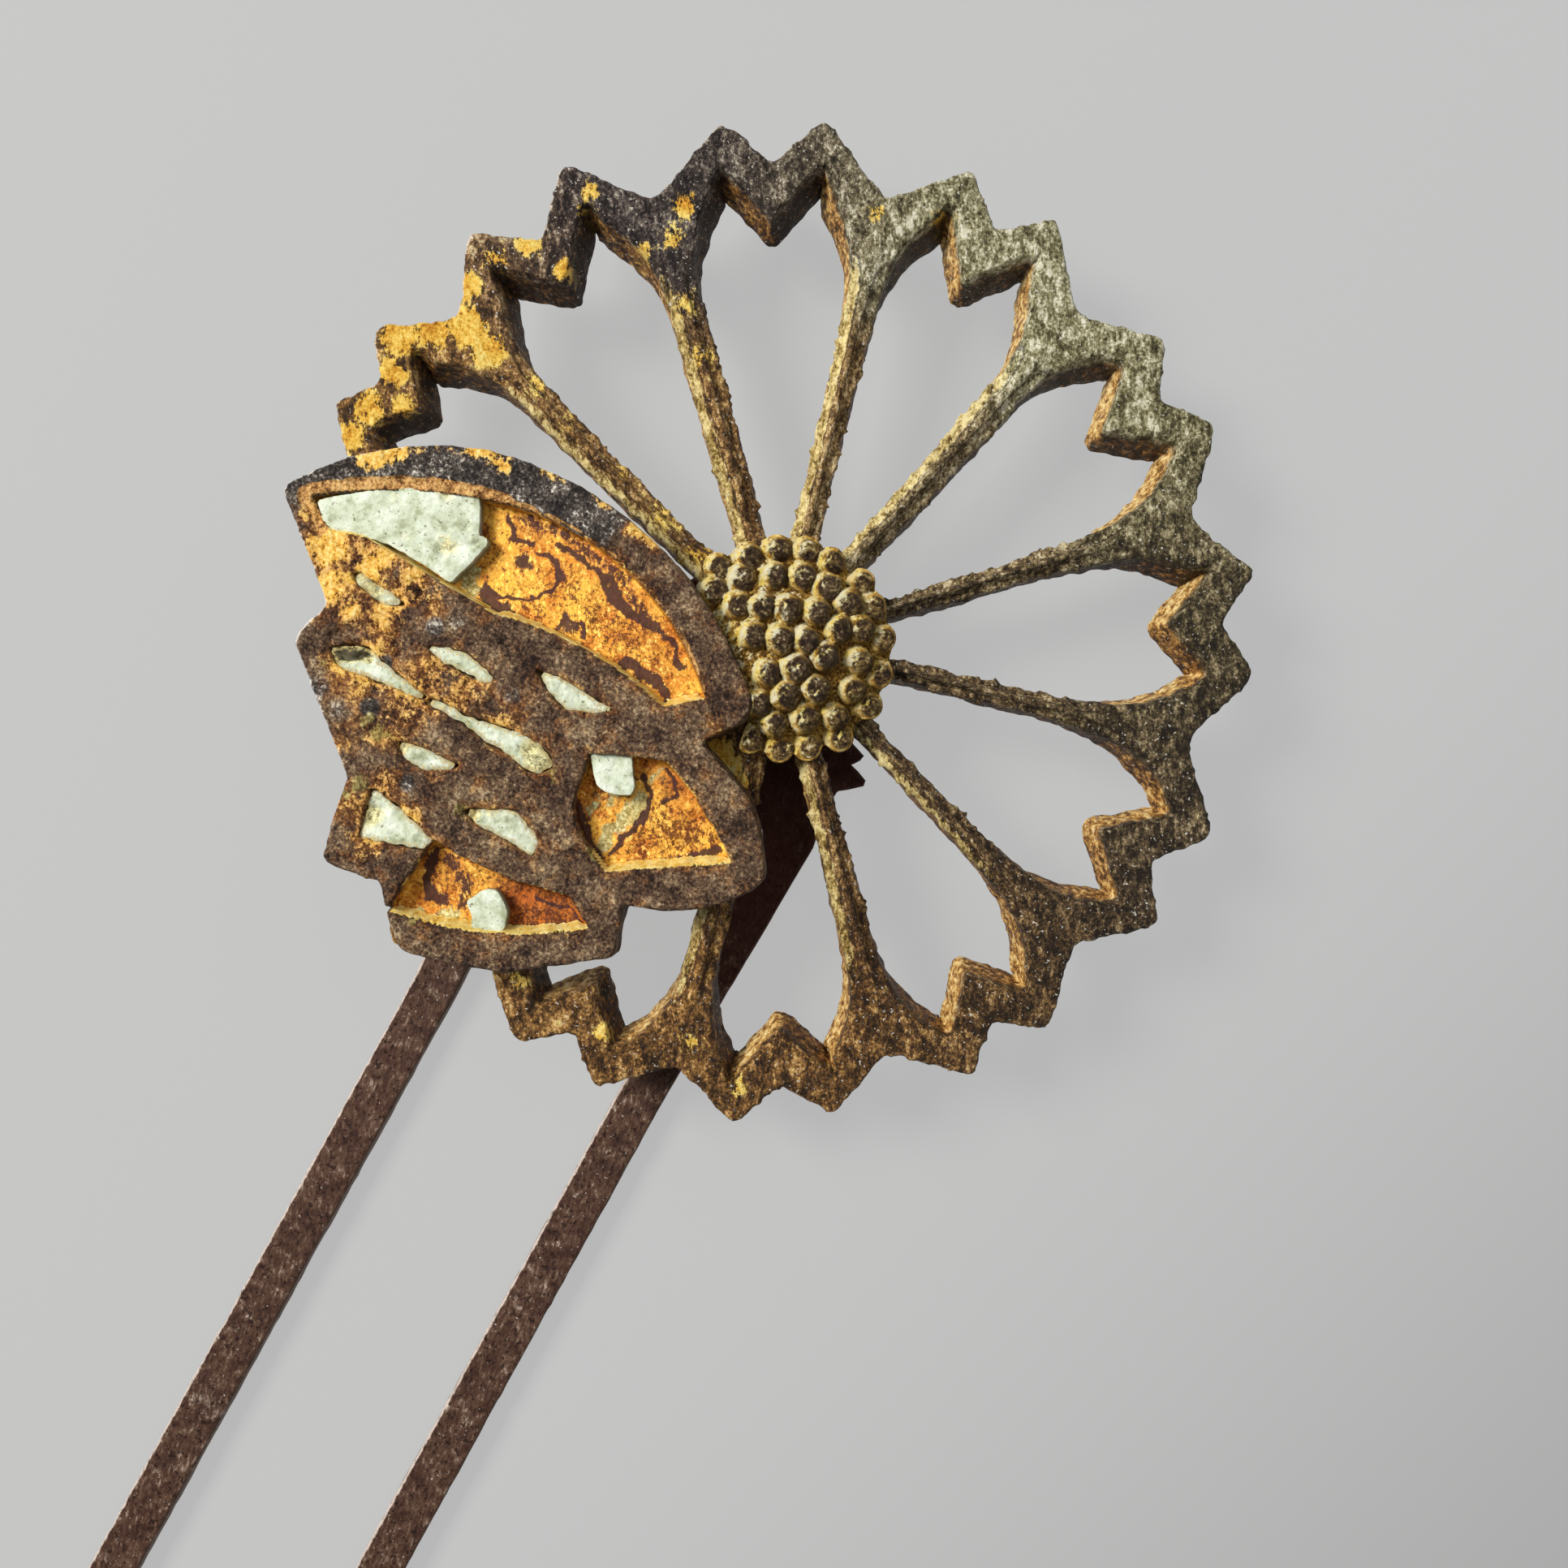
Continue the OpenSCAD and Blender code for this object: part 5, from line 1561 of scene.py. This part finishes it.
def pin_finish():
    """Matt purple-brown strip with small rust pits, painted shadow under the flower, rubbed paler
    in a few places, and a painted highlight along its edges towards the light."""
    t = Tree("worn brass, pin")
    streak = t.drawn_out(0.25, 3.0)
    fine, mid = t.noise(0.14, 6.0, 0.75, streak), t.noise(0.6, 8.0, 0.7)
    level = 0.5 + (mid - 0.5) * 1.3 + (fine - 0.5) * 1.5
    colour = t.ramp(level, (0.1, 32, 14, 8), (0.4, 62, 37, 26), (0.62, 86, 62, 47),
                    (0.95, 148, 124, 106))
    pits = t.step(t.noise(0.22, 3.0, 0.6), 0.6, 0.66)
    colour = t.mix(pits * 0.8, colour, tone(30, 12, 8))
    specks = t.step(t.noise(0.17, 2.0, 0.6, shift=40.0), 0.7, 0.73)
    colour = t.mix(specks * 0.7, colour, tone(206, 196, 186))
    rubbed = t.step(t.field("pale") + (level - 0.5) * 1.0, 0.5, 1.1)
    colour = t.mix(rubbed * 0.7, colour, tone(198, 182, 168))
    wall = t.step(t.field("wall"), 0.3, 0.7)
    colour = t.mix(wall * 0.35, colour, tone(132, 106, 88))
    # Painted shadow of the flower on the pin
    colour = t.mix(t.field("dusk") * 0.75, colour, tone(54, 16, 6))
    # A painted highlight along the pin's edges towards the light
    frost = t.step(t.field("frost") + (fine - 0.5) * 1.4 + (mid - 0.5) * 1.4, 0.14, 0.6)
    colour = t.mix(frost * (1 - t.field("dusk")) * 0.75, colour, tone(206, 192, 182))
    return t.finish(colour, 0.56 + (fine - 0.5) * 0.3, 0.2, fine * 0.7 - pits * 0.5, 0.1)


def inlay_finish():
    """Pale green-white inlay with brown dirt at its edges, dark specks, near-black where the dirt
    is thickest, which in the fourth slot's deep end is painted shade, and painted shade on its
    side walls.
    """
    t = Tree("pale inlay")
    fine, mid = t.noise(0.14, 6.0, 0.75), t.noise(0.7, 8.0, 0.7)
    colour = t.ramp(mid, (0.36, 152, 158, 126), (0.46, 186, 194, 168), (0.56, 204, 212, 192),
                    (0.66, 220, 226, 212))
    speck = t.step(t.noise(0.2, 3.0, 0.65, shift=20.0), 0.62, 0.66)
    colour = t.mix(speck * 0.75, colour, tone(92, 84, 50))
    stain = t.field("dirt") + (mid - 0.5) * 1.4 + (fine - 0.5) * 1.4
    crumbs = t.ramp(fine * 0.7 + mid * 0.3, (0.42, 56, 44, 18), (0.465, 140, 128, 70),
                    (0.51, 206, 198, 138), (0.58, 236, 232, 190))
    colour = t.mix(t.step(stain, 0.3, 0.6) * 0.85, colour, crumbs)
    # Near-black where the dirt is thickest: dark holes, and painted shade in the fourth slot's
    # deep end
    colour = t.mix(t.step(stain, 0.95, 1.2) * 0.9, colour, tone(42, 34, 16))
    grime = t.step(t.field("edge") * 0.8 + (fine - 0.5) * 2.0 + (mid - 0.5), 0.42, 0.7)
    colour = t.mix(grime * 0.75, colour, t.ramp(fine, (0.4, 76, 60, 28), (0.58, 190, 166, 100)))
    # Painted shade on the chips' side walls
    colour = t.mix(t.step(t.field("wall"), 0.6, 1.0) * 0.55, colour, tone(84, 70, 40))
    return t.finish(colour, 0.55, 0.0, fine * 0.6 + mid * 0.4, 0.08)


# The stage

# Half the floor's side and its distance below the pin's back, in metres
FLOOR_HALF, FLOOR_GAP = 0.6, 0.00001
# What the lights look at, in the middle of the hairpin's head
AIM = np.array([0.0, -5.0, 3.0]) * MM


def make_floor():
    """A large pale floor just under the pin's back, faintly lit from within, with painted falloff
    of light that makes it darker towards the photo's lower right corner, where the distance from
    the picture's middle counts as 2."""
    mesh = bpy.data.meshes.new("floor")
    corners = [(-FLOOR_HALF, -FLOOR_HALF, 0), (FLOOR_HALF, -FLOOR_HALF, 0),
               (FLOOR_HALF, FLOOR_HALF, 0), (-FLOOR_HALF, FLOOR_HALF, 0)]
    mesh.from_pydata(corners, [], [(0, 1, 2, 3)])
    t = Tree("pale floor")
    way = -(LEFT + UP) * FOCAL_PX / (PHOTO_PX / 2 * CAMERA_AT[2] * MM)
    distance = t.add("ShaderNodeVectorMath", {"operation": "DOT_PRODUCT"}, {
        0: t.place, 1: (*way, 0.0)}, "Value") - float(way @ CAMERA_AT[:2]) * MM
    # Painted falloff of light towards the lower right corner
    painted_falloff = t.step(distance, 0.4, 2.9) * 0.35
    tint = t.mix(painted_falloff, tone(74, 74, 74), tone(0, 0, 0))
    glow = t.mix(painted_falloff, (0.98, 0.985, 0.98), (0.0, 0.0, 0.0))
    mesh.materials.append(t.finish(tint, 0.9, 0.0, t.noise(3.0), 0.001, **{
        "Emission Color": glow, "Emission Strength": 0.46}))
    floor = bpy.data.objects.new("floor", mesh)
    bpy.context.scene.collection.objects.link(floor)
    floor.location = (0, 0, -FLOOR_GAP)


def make_light(name, side, height, size, power, colour):
    """A square area light that looks at the hairpin's head, from a place in the part's
    plane and a height above it, in millimetres. Its size is in metres."""
    data = bpy.data.lights.new(name, "AREA")
    data.size, data.energy, data.color = size, power, colour
    light = bpy.data.objects.new(name, data)
    bpy.context.scene.collection.objects.link(light)
    at = np.array([*side, height]) * MM
    light.location = at
    way = unit(AIM - at)
    turn = math.atan2(way[1], way[0])
    light.rotation_euler = (math.acos(-way[2]), 0.0, turn - math.pi / 2)


def make_world():
    """Dim, slightly cool light from all round, with colours shown as they are."""
    world = bpy.data.worlds.new("studio")
    world.use_nodes = True
    inputs = world.node_tree.nodes["Background"].inputs
    inputs["Color"].default_value = (0.93, 0.96, 1.0, 1.0)
    inputs["Strength"].default_value = 0.24
    bpy.context.scene.world = world
    bpy.context.scene.view_settings.view_transform = "Standard"


# Putting it together

make_camera()
make_flower(flower_finish())
make_seed_head(seed_finish())
make_leaf(leaf_finish())
make_pin(pin_finish())
make_chips(inlay_finish())
make_floor()
make_light("key", side=250 * (0.9 * LEFT + 0.43 * UP), height=240, size=0.13, power=1.85,
           colour=(1.0, 0.97, 0.92))
make_light("fill", side=260 * (-0.5 * LEFT + 0.6 * UP), height=380, size=0.45, power=0.55,
           colour=(0.95, 0.97, 1.0))
make_world()
